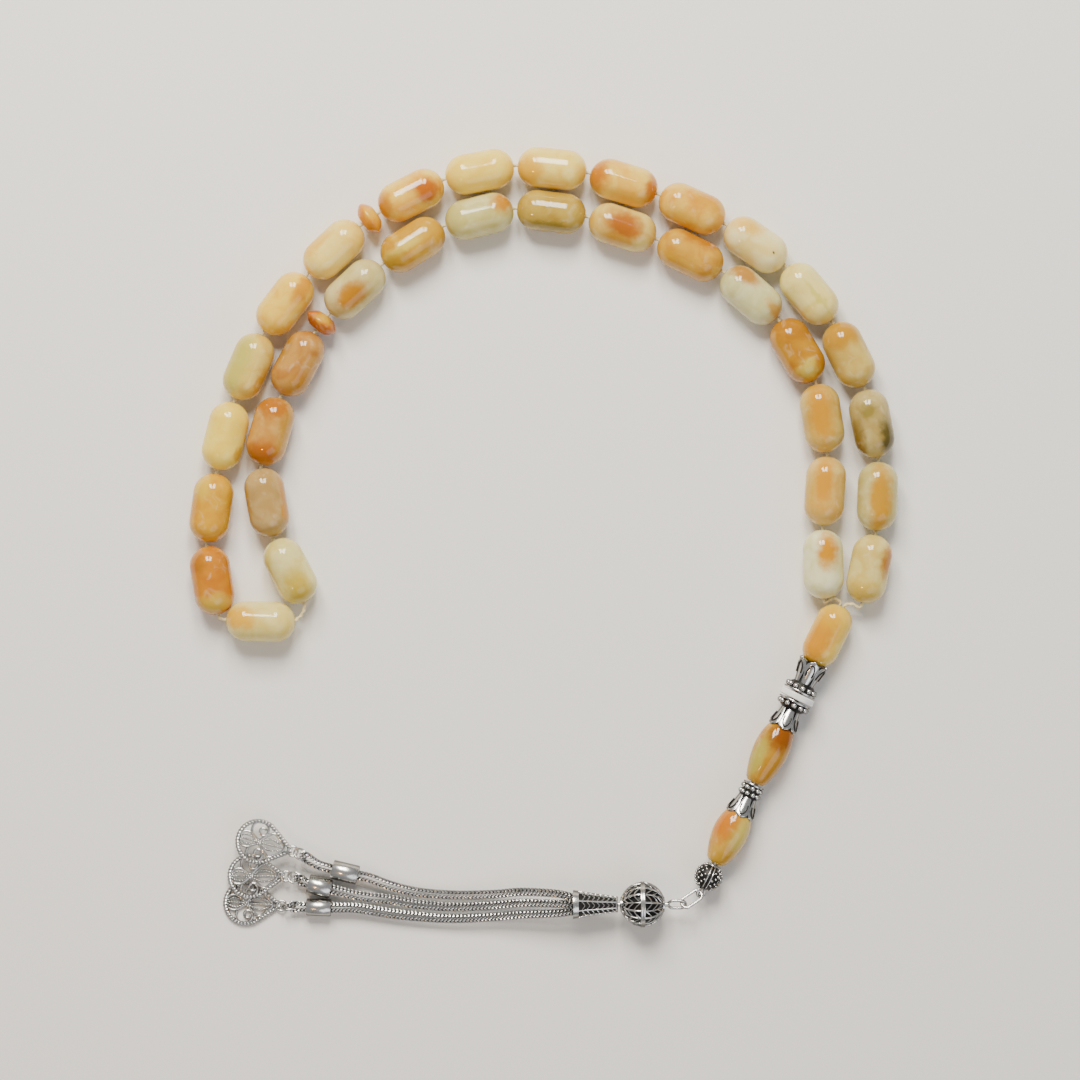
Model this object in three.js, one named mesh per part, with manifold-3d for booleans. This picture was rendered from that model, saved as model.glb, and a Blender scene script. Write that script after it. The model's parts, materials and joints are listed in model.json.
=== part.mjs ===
// A misbaha: thirty-three capsule beads and two small dividers on one cord, laid doubled in an arc,
// with a neck of longer beads and silver caps, and a silver tassel of a ball, a cone, three chains and
// three drops. Millimetres, +Z up. The whole lies on the plane z = 0, centred on x = 0, y = 0.
import * as THREE from 'three';
import { mergeVertices } from 'three/addons/utils/BufferGeometryUtils.js';
import Module from 'manifold-3d';

const wasm = await Module();
wasm.setup();

// ---- Driving dimensions ----
const GAP = 0.3;                 // kept between pieces that touch

const BEAD_DIAMETER = 7.9;
const BEAD_LENGTH = 13.8;
const BEAD_PITCH = 14.35;        // from one gap's middle to the next
const BEAD_BORE = 1.6;
const BEAD_SIDES = 10;
const DIVIDER_DIAMETER = 6.6;
const DIVIDER_THICKNESS = 3.6;
const DIVIDER_PITCH = 4.25;

const CORD_DIAMETER = 0.8;
const CORD_SIDES = 8;
const KNOT_DIAMETER = 3.0;

const NECK_BORE = 2.2;           // two runs of the cord go through the neck
const NECK_LEAN = 26.2;          // degrees between the neck and the Y axis
const NECK_BEAD_DIAMETER = 7.2;
const NECK_BEAD_LENGTH = 13.3;
const CAP_RING_RADIUS = 3.4;     // the grained rings of the caps

const WIRE = 0.6;                // round wire of the link, eyes and jump rings
const RING_STEPS = 16;           // straight steps round each wire ring
const WIRE_SIDES = 6;
const BALL_DIAMETER = 9.0;
const BALL_WALL = 0.6;
const CONE_LENGTH = 8.8;
const CHAIN_DIAMETER = 1.05;
const CHAIN_SIDES = 8;
const SLEEVE_BORE = 2.75;
const JUMP_RING_DIAMETER = 3.0;
const JUMP_RING_WIRE = 0.5;
const BAIL_DIAMETER = 2.4;
const BAIL_WIRE = 0.45;
const DROP_LENGTH = 11.2;
const DROP_WIDTH = 8.8;
const DROP_THICKNESS = 0.9;

// Where the strands start at the neck, and the heading of each bead's axis from there, in degrees
// anticlockwise from +X. The outer strand runs out to the far end and the inner one lies beside it.
const OUTER_START = [63.1, -12.7];
const OUTER_HEADINGS = [
  79, 88, 101, 116, 130, 145, 156, 163, 174, 191, 207, 223, 233, 247, 256, 262, 279,
];
const INNER_START = [55.6, -11.9];
const INNER_HEADINGS = [91, 86, 99, 121, 139, 154, 162, 173, 194, 212, 223, 242, 254, 280, 298];
const FAR_BEAD_CENTRE = [-54.7, -15.95];
const FAR_BEAD_HEADING = 358;
const DIVIDER_AFTER = 11;        // beads from the neck to the divider, on either strand

const NECK_CENTRE = [56.3, -18.7, NECK_BEAD_DIAMETER / 2];
const BALL_CENTRE = [20.05, -71.3, BALL_DIAMETER / 2];

// ---- Finishes ----
const HONEY = [0xf0cf7c, 0xe9bd62, 0xd9c089, 0xdda64a, 0xf2dfa6, 0xecc983, 0xe3ab4b];
const SILVER = { color: 0xb9b9b6, roughness: 0.3, metalness: 1.0 };
const OXIDISED = { color: 0x9a9994, roughness: 0.4, metalness: 1.0 };
const radians = THREE.MathUtils.degToRad;

const misbaha = new THREE.Group();

function add(parent, name, geometry, finish) {
  const mesh = new THREE.Mesh(geometry, new THREE.MeshStandardMaterial(finish));
  mesh.name = name;
  parent.add(mesh);
  return mesh;
}

function stone(index) {
  return { color: HONEY[index % HONEY.length], roughness: 0.12, metalness: 0 };
}

// ---- Solids ----
function signedVolume(geometry) {
  const corners = geometry.index ? geometry.toNonIndexed() : geometry;
  const position = corners.getAttribute('position');
  const [a, b, c] = [new THREE.Vector3(), new THREE.Vector3(), new THREE.Vector3()];
  let volume = 0;
  for (let i = 0; i < position.count; i += 3) {
    a.fromBufferAttribute(position, i);
    b.fromBufferAttribute(position, i + 1);
    c.fromBufferAttribute(position, i + 2);
    volume += a.dot(b.cross(c)) / 6;
  }
  return volume;
}

// One closed skin with shared corners and its faces pointing out.
function closed(geometry) {
  geometry.deleteAttribute('normal');
  geometry.deleteAttribute('uv');
  const merged = mergeVertices(geometry, 1e-4);
  const index = [];
  for (let i = 0; i < merged.index.count; i += 3) {
    const [a, b, c] = [0, 1, 2].map((k) => merged.index.getX(i + k));
    if (a !== b && b !== c && c !== a) index.push(a, b, c);
  }
  if (signedVolume(merged) < 0) index.reverse();
  merged.setIndex(index);
  return merged;
}

function lathe(profile, sides) {
  return closed(new THREE.LatheGeometry(profile.map(([r, y]) => new THREE.Vector2(r, y)), sides));
}

// A ring-shaped profile, given once round, closes on its own first point.
function ringLathe(profile, sides) {
  return lathe([...profile, profile[0]], sides);
}

function solid(geometry) {
  const skin = closed(geometry);
  const vertProperties = new Float32Array(skin.getAttribute('position').array);
  const triVerts = new Uint32Array(skin.index.array);
  return new wasm.Manifold(new wasm.Mesh({ numProp: 3, vertProperties, triVerts }));
}

function skinOf(manifold) {
  const mesh = manifold.getMesh();
  const geometry = new THREE.BufferGeometry();
  geometry.setAttribute('position', new THREE.BufferAttribute(mesh.vertProperties.slice(), 3));
  geometry.setIndex(new THREE.BufferAttribute(mesh.triVerts.slice(), 1));
  return geometry;
}

function joined(...geometries) {
  const [first, ...others] = geometries.map(solid);
  return skinOf(others.reduce((whole, part) => whole.add(part), first));
}

// A round tube with one ring of corners at each listed point.
function tube(points, diameter, sides) {
  const section = new THREE.Shape();
  for (let i = 0; i < sides; i += 1) {
    const turn = (2 * Math.PI * i) / sides;
    const corner = [(diameter / 2) * Math.cos(turn), (diameter / 2) * Math.sin(turn)];
    if (i === 0) section.moveTo(...corner);
    else section.lineTo(...corner);
  }
  section.closePath();
  const route = new THREE.CatmullRomCurve3(points, false, 'centripetal');
  route.getUtoTmapping = (u) => u;
  const steps = points.length - 1;
  return closed(new THREE.ExtrudeGeometry(section, { steps, extrudePath: route, curveSegments: 1 }));
}

// A wire ring, its length along Y and its plane turned by roll about Y from lying flat.
function wireRing(length, width, wire, roll) {
  const bend = (width - wire) / 2;
  const straight = Math.max(0, (length - width) / 2);
  const ring = new THREE.TorusGeometry(bend, wire / 2, WIRE_SIDES, RING_STEPS);
  const position = ring.getAttribute('position');
  for (let i = 0; i < position.count; i += 1) {
    const y = position.getY(i);
    position.setY(i, y + Math.sign(Math.round(y * 1e4)) * straight);
  }
  return closed(ring.rotateY(radians(roll)));
}

// ---- Strand: where every bead lies ----
function ahead([x, y], heading, distance) {
  return [x + distance * Math.cos(radians(heading)), y + distance * Math.sin(radians(heading))];
}

// Walks along the cord from one gap to the next and gives each bead's place, with its divider.
function strand(start, headings) {
  const beads = [];
  let divider = null;
  let at = start;
  headings.forEach((heading, k) => {
    beads.push({ centre: ahead(at, heading, BEAD_PITCH / 2), heading });
    at = ahead(at, heading, BEAD_PITCH);
    if (k + 1 === DIVIDER_AFTER) {
      const between = (heading + headings[k + 1]) / 2;
      divider = { centre: ahead(at, between, DIVIDER_PITCH / 2), heading: between };
      at = ahead(at, between, DIVIDER_PITCH);
    }
  });
  return { beads, divider };
}

const outer = strand(OUTER_START, OUTER_HEADINGS);
const inner = strand(INNER_START, INNER_HEADINGS);
const farBead = { centre: FAR_BEAD_CENTRE, heading: FAR_BEAD_HEADING };
const STRAND_HEIGHT = BEAD_DIAMETER / 2;

// A capsule with a bore: a straight barrel between two nearly round ends.
function capsule(diameter, length, bore) {
  const r = diameter / 2;
  const barrel = length / 2 - r;
  const mouth = Math.asin(bore / diameter);
  const turns = [mouth, radians(34), radians(62), radians(90)];
  const end = turns.map((turn) => [r * Math.sin(turn), barrel + r * Math.cos(turn)]);
  const start = [...end].reverse().map(([x, y]) => [x, -y]);
  return ringLathe([...start.reverse(), ...end.reverse()], BEAD_SIDES);
}

function placeAlong(mesh, { centre: [x, y], heading }) {
  mesh.position.set(x, y, STRAND_HEIGHT);
  mesh.rotation.z = radians(heading - 90);
}

// Along the cord: out on the outer strand, round the far bead, and back on the inner one.
const beadsInOrder = [...outer.beads, farBead, ...[...inner.beads].reverse()];
beadsInOrder.forEach((place, k) => {
  const name = `bead_${String(k + 1).padStart(2, '0')}`;
  placeAlong(add(misbaha, name, capsule(BEAD_DIAMETER, BEAD_LENGTH, BEAD_BORE), stone(k)), place);
});

// The dividers are thin lenses that mark off each third of the beads.
function lens() {
  const half = DIVIDER_THICKNESS / 2;
  const [rim, bore] = [DIVIDER_DIAMETER / 2, BEAD_BORE / 2];
  const side = [[bore, half], [0.5 * rim, 0.86 * half], [0.85 * rim, 0.45 * half], [rim, 0]];
  const back = side.slice(0, 3).map(([r, y]) => [r, -y]);
  return ringLathe([...side, ...back.reverse()], BEAD_SIDES);
}

[outer.divider, inner.divider].forEach((place, k) => {
  const finish = { color: 0xd98f2c, roughness: 0.1, metalness: 0 };
  placeAlong(add(misbaha, `divider_${k + 1}`, lens(), finish), place);
});

// ---- Neck: pieces threaded on both runs of the cord, from the strands down to the knot ----
// Every profile below is [radius, distance down the neck from the middle of the neck bead].
const neck = new THREE.Group();
neck.position.set(...NECK_CENTRE);
neck.rotation.z = radians(-NECK_LEAN);
misbaha.add(neck);
const bore = NECK_BORE / 2;
const down = (profile) => profile.map(([r, s]) => [r, -s]);

add(neck, 'neck_bead', capsule(NECK_BEAD_DIAMETER, NECK_BEAD_LENGTH, NECK_BORE), stone(3));

// A petal cap: an open cup of petals that holds a bead's end, a narrow throat and a grained ring or two.
// Positions run from the lip of the cup at 0; turned over, the cup opens down the neck.
function petalCap(lip, length, rings, ringRadius, petals, at, opensUp) {
  const ringsStart = length - rings * 1.7;
  const side = opensUp ? 1 : -1;
  const profile = [
    [lip - 0.42, 0], [lip, 0.1], [lip * 0.8, 1.2],
    [lip * 0.6, ringsStart - 0.9], [lip * 0.72, ringsStart],
  ];
  for (let k = 0; k < rings; k += 1) {
    const start = ringsStart + k * 1.7;
    profile.push([ringRadius, start + 0.45], [ringRadius, start + 1.15]);
    profile.push([ringRadius * 0.85, start + 1.6]);
  }
  profile.push([bore, length], [bore, 1.6], [1.75, 1.4]);
  const body = ringLathe(profile.map(([r, s]) => [r, -(at + side * s)]), 16);
  const notches = [];
  for (let k = 0; k < petals; k += 1) {
    const notch = new THREE.ConeGeometry(0.5, 1.5, 4);
    notch.rotateX(opensUp ? Math.PI : 0);
    notch.scale(1, 1, 6);
    notch.translate(0, -(at + side * 0.55), lip);
    notches.push(notch.rotateY((2 * Math.PI * (k + 0.5)) / petals));
  }
  const cut = notches.reduce((whole, notch) => whole.subtract(solid(notch)), solid(body));
  return skinOf(cut);
}

add(neck, 'crown_cap', petalCap(3.1, 6.6, 1, CAP_RING_RADIUS, 6, 5.8, true), OXIDISED);

const WHITE = { color: 0xf2f2ee, roughness: 0.2, metalness: 0 };
const ringProfile = [[bore, 12.7], [3.3, 12.7], [3.5, 12.9], [3.5, 13.8], [3.3, 14.0], [bore, 14.0]];
add(neck, 'white_ring', ringLathe(down(ringProfile), 16), WHITE);

add(neck, 'petal_cap', petalCap(3.0, 5.9, 1, CAP_RING_RADIUS, 6, 20.2, false), OXIDISED);

// A barrel bead swells from both ends, fullest nearer its upper end.
function barrelBead(from, to, radius, upperEnd, lowerEnd) {
  const length = to - from;
  const swell = [0.12, 0.3, 0.45, 0.68, 0.87].map((t) => {
    const ends = upperEnd + (lowerEnd - upperEnd) * t;
    return [ends + (radius - ends) * Math.sin(Math.PI * t ** 0.8) ** 0.8, from + length * t];
  });
  const profile = [[bore, from], [upperEnd, from], ...swell, [lowerEnd, to], [bore, to]];
  return ringLathe(down(profile), BEAD_SIDES);
}

add(neck, 'barrel_bead_1', barrelBead(19.4, 32.1, 3.5, 1.9, 1.9), stone(6));

add(neck, 'waist_cap', petalCap(3.0, 6.7, 2, 2.4, 6, 39.2, false), OXIDISED);

add(neck, 'barrel_bead_2', barrelBead(38.3, 49.6, 3.5, 1.9, 1.75), stone(1));

// The knot cover is a hollow ball over the knot, with an eye at its tip for the link.
const KNOT_AT = 52.7;
const COVER_RADIUS = 2.75;
const COVER_HOLLOW = 1.9;
const EYE_DIAMETER = 2.4;
const EYE_AT = KNOT_AT + COVER_RADIUS + EYE_DIAMETER / 2 - WIRE;
const EYE_ROLL = 40;

function arc(radius, from, to, count, at) {
  return Array.from({ length: count + 1 }, (_, k) => {
    const turn = from + ((to - from) * k) / count;
    return [Math.max(0, radius * Math.sin(turn)), at - radius * Math.cos(turn)];
  });
}

const openOut = Math.asin(bore / COVER_RADIUS);
const openIn = Math.asin(bore / COVER_HOLLOW);
const coverProfile = [
  ...arc(COVER_RADIUS, Math.PI, openOut, 7, KNOT_AT),
  ...arc(COVER_HOLLOW, openIn, Math.PI, 5, KNOT_AT),
];
const coverEye = wireRing(EYE_DIAMETER, EYE_DIAMETER, WIRE, EYE_ROLL).translate(0, -EYE_AT, 0);
add(neck, 'knot_cover', joined(lathe(down(coverProfile), 12), coverEye), OXIDISED);

// ---- Cord: knot, neck, outer strand, far bead, inner strand, neck, knot ----
function throughBead({ centre, heading }, reach) {
  return [-reach, reach].map((d) => [...ahead(centre, heading, d), STRAND_HEIGHT]);
}

function inNeck(offset, distance) {
  neck.updateMatrixWorld();
  return new THREE.Vector3(offset, -distance, 0).applyMatrix4(neck.matrixWorld);
}

const NECK_RUN = 0.48;           // each run of the cord lies this far from the neck's middle line
const BEAD_REACH = BEAD_LENGTH / 2 - 0.6;

function mouthOf({ centre, heading }, sense) {
  return [...ahead(centre, heading, sense * BEAD_PITCH * 0.5), STRAND_HEIGHT];
}

function strandRoute({ beads, divider }) {
  const points = beads.flatMap((place) => throughBead(place, BEAD_REACH));
  points.splice(2 * DIVIDER_AFTER, 0, ...throughBead(divider, DIVIDER_THICKNESS / 2));
  return points;
}

const neckStations = [KNOT_AT - 0.4, 46, 38, 30, 22, 14, 6, -6.8];
const loopPoints = [
  [61.4, -12.6, 3.8],
  [62.6, -13.2, 3.9],
  mouthOf(outer.beads[0], -1),
  ...strandRoute(outer),
  mouthOf(outer.beads[16], 1),
  mouthOf(farBead, -1),
  ...throughBead(farBead, BEAD_REACH),
  mouthOf(farBead, 1),
  mouthOf(inner.beads[14], 1),
  ...strandRoute(inner).reverse(),
  mouthOf(inner.beads[0], -1),
  [55.8, -12.25, 3.95],
  [56.5, -12.1, 3.95],
  [57.6, -11.8, 3.9],
].map((point) => new THREE.Vector3(...point));
const cordRoute = [
  ...neckStations.map((s) => inNeck(NECK_RUN, s)),
  ...loopPoints,
  ...[...neckStations].reverse().map((s) => inNeck(-NECK_RUN, s)),
];
const knot = new THREE.IcosahedronGeometry(KNOT_DIAMETER / 2, 1);
knot.translate(...inNeck(0, KNOT_AT).toArray());
const cord = joined(tube(cordRoute, CORD_DIAMETER, CORD_SIDES), knot);
add(misbaha, 'cord', cord, { color: 0xe8dcb4, roughness: 0.8, metalness: 0 });

// ---- Tassel: eye, ball and cone on one pin, along -X ----
// In this group +Y runs from the ball towards the chains.
const tassel = new THREE.Group();
tassel.position.set(...BALL_CENTRE);
tassel.rotation.z = radians(90);
misbaha.add(tassel);

const PIN = 0.9;
const BALL_BORE = 1.5;
const CONE_START = BALL_DIAMETER / 2 + GAP;
const LOOP_LENGTH = 4.0;
const LOOP_WIDTH = 2.7;
const LOOP_ROLL = -40;
const LOOP_AT = -BALL_DIAMETER / 2 - 0.25 - LOOP_LENGTH / 2;

const pinLength = CONE_START + 2.6 - (LOOP_AT + LOOP_LENGTH / 2 - WIRE);
const pin = new THREE.CylinderGeometry(PIN / 2, PIN / 2, pinLength, 10);
pin.translate(0, LOOP_AT + LOOP_LENGTH / 2 - WIRE + pinLength / 2, 0);
const loop = wireRing(LOOP_LENGTH, LOOP_WIDTH, WIRE, LOOP_ROLL).translate(0, LOOP_AT, 0);
add(tassel, 'tassel_eye', joined(loop, pin), SILVER);

function shellBall() {
  const [outerRadius, innerRadius] = [BALL_DIAMETER / 2, BALL_DIAMETER / 2 - BALL_WALL];
  const [a, b] = [outerRadius, innerRadius].map((radius) => Math.asin(BALL_BORE / 2 / radius));
  const outside = arc(outerRadius, a, Math.PI - a, 9, 0);
  const inside = arc(innerRadius, Math.PI - b, b, 6, 0);
  return ringLathe([...outside, ...inside], 16);
}
add(tassel, 'filigree_ball', shellBall(), OXIDISED);

const coneEnd = CONE_START + CONE_LENGTH;
const coneProfile = [
  [PIN / 2 + 0.15, CONE_START], [1.42, CONE_START], [1.5, CONE_START + 0.8], [2.55, coneEnd - 1.3],
  [2.8, coneEnd - 1.1], [2.8, coneEnd], [2.42, coneEnd], [2.2, coneEnd - 1.4],
  [1.0, CONE_START + 1.9], [PIN / 2 + 0.15, CONE_START + 1.2],
];
add(tassel, 'cone_cap', ringLathe(coneProfile, 16), OXIDISED);

// ---- Link between the knot cover's eye and the tassel's eye ----
// The wire of the link lies inside each loop with a little play, on the side that the link pulls towards.
const PLAY = 0.12;
const LINK_WIDTH = 2.6;

// Where a loop's wire is pulled: the point of its bend that faces the way of the pull.
function pulled(frame, bendAt, bendRadius, roll, way) {
  const centre = new THREE.Vector3(0, bendAt, 0).applyMatrix4(frame.matrixWorld);
  const normal = new THREE.Vector3(0, 0, 1).applyAxisAngle(new THREE.Vector3(0, 1, 0), radians(roll));
  normal.transformDirection(frame.matrixWorld);
  return centre.addScaledVector(way.clone().projectOnPlane(normal).normalize(), bendRadius);
}

tassel.updateMatrixWorld();
const loopBend = (LOOP_WIDTH - WIRE) / 2;
const loopBendAt = LOOP_AT - LOOP_LENGTH / 2 + LOOP_WIDTH / 2;
const eyeBend = (EYE_DIAMETER - WIRE) / 2;
const loopCentre = new THREE.Vector3(0, loopBendAt, 0).applyMatrix4(tassel.matrixWorld);
const linkWay = loopCentre.sub(inNeck(0, EYE_AT)).normalize();
const eyeEnd = pulled(neck, -EYE_AT, eyeBend, EYE_ROLL, linkWay);
const loopEnd = pulled(tassel, loopBendAt, loopBend, LOOP_ROLL, linkWay.clone().negate());
const linkLength = eyeEnd.distanceTo(loopEnd) + 3 * WIRE + 2 * PLAY;
const link = add(misbaha, 'link', wireRing(linkLength, LINK_WIDTH, WIRE, 90 - EYE_ROLL), SILVER);
link.position.addVectors(eyeEnd, loopEnd).multiplyScalar(0.5);
link.quaternion.setFromUnitVectors(new THREE.Vector3(0, 1, 0), loopEnd.clone().sub(eyeEnd).normalize());

// ---- Chains, sleeves, jump rings and drops ----
// Each chain is doubled: it starts in the cone's mouth, runs through its sleeve, turns back through its
// jump ring and returns. Its middle line is a list of [x, y, height, lean], where lean is the angle of
// the two runs from lying side by side. The sleeve slides on the straight stretch from point sleeve.from.
const CHAIN_TURN = 1.0;          // radius of the turn round the jump ring
const CHAINS = [
  {
    line: [
      [6.1, -69.9, 4.5, 55], [3.0, -69.2, 4.4, 55], [-3.7, -69.0, 3.4, 50],
      [-9.5, -69.6, 2.3, 45], [-17.2, -69.8, 1.6, 40], [-24.1, -69.3, 1.4, 25], [-29.4, -68.0, 1.6, 10],
      [-33.3, -66.5, 1.9, 0], [-35.8, -65.9, 1.9, 0], [-40.8, -64.7, 1.9, 0], [-43.6, -63.8, 2.3, -10],
      [-45.9, -62.3, 2.9, -40],
    ],
    sleeve: { from: 8, diameter: 3.8, length: 5.2 },
    drop: { ringHeading: 155, ringRoll: 56, heading: 165, height: 2.6 },
  },
  {
    line: [
      [6.1, -71.3, 4.5, 55], [3.0, -71.2, 4.3, 55], [-3.7, -71.2, 3.2, 50],
      [-9.5, -71.8, 2.0, 45], [-17.2, -72.2, 1.4, 40], [-24.1, -71.7, 1.25, 25], [-29.4, -70.8, 1.4, 10],
      [-36.0, -69.9, 1.85, 0], [-40.9, -68.7, 1.85, 0], [-45.8, -67.4, 1.85, -10], [-47.1, -66.8, 1.85, -40],
    ],
    sleeve: { from: 8, diameter: 3.7, length: 4.6 },
    drop: { ringHeading: 168, ringRoll: 48, heading: 180, height: 1.3 },
  },
  {
    line: [
      [6.1, -72.7, 4.5, 55], [3.0, -73.1, 4.2, 55], [-3.7, -73.5, 3.0, 50],
      [-9.5, -74.1, 1.9, 45], [-17.2, -74.5, 1.3, 40], [-24.1, -74.1, 1.25, 25], [-29.4, -73.5, 1.4, 10],
      [-36.0, -72.4, 1.7, 0], [-40.4, -72.3, 1.7, 0], [-46.6, -72.15, 1.75, -10], [-48.2, -72.1, 1.95, -35],
    ],
    sleeve: { from: 8, diameter: 3.4, length: 4.8 },
    drop: { ringHeading: 178, ringRoll: 40, heading: 176, height: 0 },
  },
];

// The two runs of a doubled chain, and the turn at its end.
function chainRoute(line) {
  const stations = line.map(([x, y, z]) => new THREE.Vector3(x, y, z));
  const middle = new THREE.CatmullRomCurve3(stations, false, 'centripetal');
  const count = 2 * (line.length - 1);
  const spread = CHAIN_DIAMETER / 2 + 0.05;
  const runs = [[], []];
  for (let k = 0; k <= count; k += 1) {
    const t = k / count;
    const along = middle.getTangent(t);
    const across = new THREE.Vector3(-along.y, along.x, 0).normalize();
    const at = Math.min(t * (line.length - 1), line.length - 1.0001);
    const [before, after] = [line[Math.floor(at)][3], line[Math.floor(at) + 1][3]];
    const lean = radians(THREE.MathUtils.lerp(before, after, at % 1));
    const half = k === count ? CHAIN_TURN : spread;
    const offset = across.multiplyScalar(half * Math.cos(lean));
    offset.z += half * Math.sin(lean);
    const point = middle.getPoint(t);
    runs[0].push(point.clone().add(offset));
    runs[1].push(point.clone().sub(offset));
  }
  const end = middle.getPoint(1);
  const out = middle.getTangent(1).setZ(0).normalize();
  const side = runs[0][count].clone().sub(end).normalize();
  const turn = [0.25, 0.5, 0.75].map((t) => {
    const bend = end.clone().addScaledVector(side, CHAIN_TURN * Math.cos(Math.PI * t));
    return bend.addScaledVector(out, CHAIN_TURN * Math.sin(Math.PI * t));
  });
  return { points: [...runs[0], ...turn, ...runs[1].reverse()], tip: turn[1] };
}

// A drop is a flat teardrop with open work inside it, its point along +Y at the bail that the ring holds.
function dropPlate() {
  const round = DROP_WIDTH / 2;
  const point = DROP_LENGTH - round;
  const outline = new THREE.Shape();
  const reach = Math.asin(round / point);
  outline.absarc(0, 0, round, Math.PI - reach, reach, false);
  outline.lineTo(0, point);
  outline.closePath();
  const windows = [[-2.2, -0.4, 1.1], [2.2, -0.4, 1.1], [0, -2.4, 1.0], [0, 2.4, 1.1]];
  windows.forEach(([x, y, r]) => {
    const window = new THREE.Path();
    window.absarc(x, y, r, 0, 2 * Math.PI, true);
    outline.holes.push(window);
  });
  const sheet = { depth: DROP_THICKNESS, bevelEnabled: false, curveSegments: 5 };
  const plate = new THREE.ExtrudeGeometry(outline, sheet);
  const bail = wireRing(BAIL_DIAMETER, BAIL_DIAMETER, BAIL_WIRE, 0);
  bail.translate(0, point + BAIL_DIAMETER / 2 - BAIL_LAP, BAIL_HEIGHT);
  return joined(plate, bail);
}
const BAIL_LAP = 0.9;            // the bail is soldered on top of the drop's point, over this length
const BAIL_HEIGHT = DROP_THICKNESS - 0.05;
const BAIL_TIP = DROP_LENGTH - DROP_WIDTH / 2 + BAIL_DIAMETER - BAIL_LAP - BAIL_WIRE / 2;
const RING_PLAY = 0.14;
const ringTurn = (JUMP_RING_DIAMETER - JUMP_RING_WIRE) / 2;

CHAINS.forEach(({ line, sleeve, drop }, k) => {
  const number = k + 1;
  const { points, tip } = chainRoute(line);
  add(misbaha, `chain_${number}`, tube(points, CHAIN_DIAMETER, CHAIN_SIDES), OXIDISED);

  const [from, to] = [0, 1].map((d) => new THREE.Vector3(...line[sleeve.from + d].slice(0, 3)));
  const [rOut, rIn, half] = [sleeve.diameter / 2, SLEEVE_BORE / 2, sleeve.length / 2];
  const wall = [[rIn, -half], [rOut, -half], [rOut, half], [rIn, half]];
  const tubeSleeve = add(misbaha, `sleeve_${number}`, ringLathe(wall, 16), SILVER);
  tubeSleeve.position.copy(from).lerp(to, 0.5);
  const sleeveWay = to.clone().sub(from).normalize();
  tubeSleeve.quaternion.setFromUnitVectors(new THREE.Vector3(0, 1, 0), sleeveWay);

  // The jump ring lies in the turn of the chain at one side and in the bail at the other.
  const ringWay = new THREE.Vector3(...ahead([0, 0], drop.ringHeading, 1), 0);
  const dropWay = new THREE.Vector3(...ahead([0, 0], drop.heading, 1), 0);
  const inChain = tip.clone().addScaledVector(ringWay, -(CHAIN_DIAMETER + JUMP_RING_WIRE) / 2 - RING_PLAY);
  const bailZ = drop.height + BAIL_HEIGHT;
  const rise = bailZ - inChain.z;
  const run = Math.sqrt(4 * ringTurn * ringTurn - rise * rise);
  const inBail = inChain.clone().addScaledVector(ringWay, run).setZ(bailZ);
  const ring = wireRing(JUMP_RING_DIAMETER, JUMP_RING_DIAMETER, JUMP_RING_WIRE, drop.ringRoll);
  const jumpRing = add(misbaha, `jump_ring_${number}`, ring, SILVER);
  jumpRing.position.addVectors(inChain, inBail).multiplyScalar(0.5);
  const acrossRing = inBail.clone().sub(inChain).normalize();
  jumpRing.quaternion.setFromUnitVectors(new THREE.Vector3(0, 1, 0), acrossRing);

  const plate = add(misbaha, `drop_${number}`, dropPlate(), OXIDISED);
  const reach = BAIL_TIP - (BAIL_WIRE + JUMP_RING_WIRE) / 2 - RING_PLAY;
  plate.position.copy(inBail).addScaledVector(dropWay, reach).setZ(drop.height);
  plate.rotation.z = radians(drop.heading + 90);
});

// ---- The whole is centred over its base ----
misbaha.updateMatrixWorld(true);
const box = new THREE.Box3().setFromObject(misbaha, true);
const middle = box.getCenter(new THREE.Vector3());
misbaha.position.set(-middle.x, -middle.y, -box.min.z);
misbaha.updateMatrixWorld(true);

export default misbaha;
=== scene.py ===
import json
import math

import bmesh
import bpy
import numpy as np
from mathutils import Matrix, Vector

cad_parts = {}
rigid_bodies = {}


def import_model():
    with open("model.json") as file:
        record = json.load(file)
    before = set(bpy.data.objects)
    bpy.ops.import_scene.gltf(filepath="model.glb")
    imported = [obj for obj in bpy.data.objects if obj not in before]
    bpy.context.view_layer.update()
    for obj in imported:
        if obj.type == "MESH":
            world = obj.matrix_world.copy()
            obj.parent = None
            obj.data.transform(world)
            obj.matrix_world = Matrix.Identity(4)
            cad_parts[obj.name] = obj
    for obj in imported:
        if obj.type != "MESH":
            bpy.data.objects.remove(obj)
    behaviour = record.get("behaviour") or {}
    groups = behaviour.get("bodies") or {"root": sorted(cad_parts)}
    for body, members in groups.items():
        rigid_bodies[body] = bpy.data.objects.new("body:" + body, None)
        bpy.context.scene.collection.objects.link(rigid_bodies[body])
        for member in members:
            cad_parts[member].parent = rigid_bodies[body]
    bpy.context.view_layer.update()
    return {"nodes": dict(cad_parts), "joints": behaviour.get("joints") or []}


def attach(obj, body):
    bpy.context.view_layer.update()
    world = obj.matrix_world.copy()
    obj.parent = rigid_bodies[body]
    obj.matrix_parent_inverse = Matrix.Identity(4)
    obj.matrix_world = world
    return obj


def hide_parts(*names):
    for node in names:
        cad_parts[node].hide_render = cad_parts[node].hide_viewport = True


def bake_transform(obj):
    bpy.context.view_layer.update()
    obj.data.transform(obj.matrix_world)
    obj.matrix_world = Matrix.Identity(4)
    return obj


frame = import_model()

MM = 0.001


# ---- Camera ----
# It looks straight down from well above, with the top of the arc of beads upwards.
SEEN_WIDTH = 211.5 * MM        # what the picture takes in, at the height of the beads
SEEN_MIDDLE = (-0.74 * MM, -0.47 * MM)
BEAD_HEIGHT = 4 * MM


def placed(name, data):
    """A new object in the scene."""
    thing = bpy.data.objects.new(name, data)
    bpy.context.scene.collection.objects.link(thing)
    return thing


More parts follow.
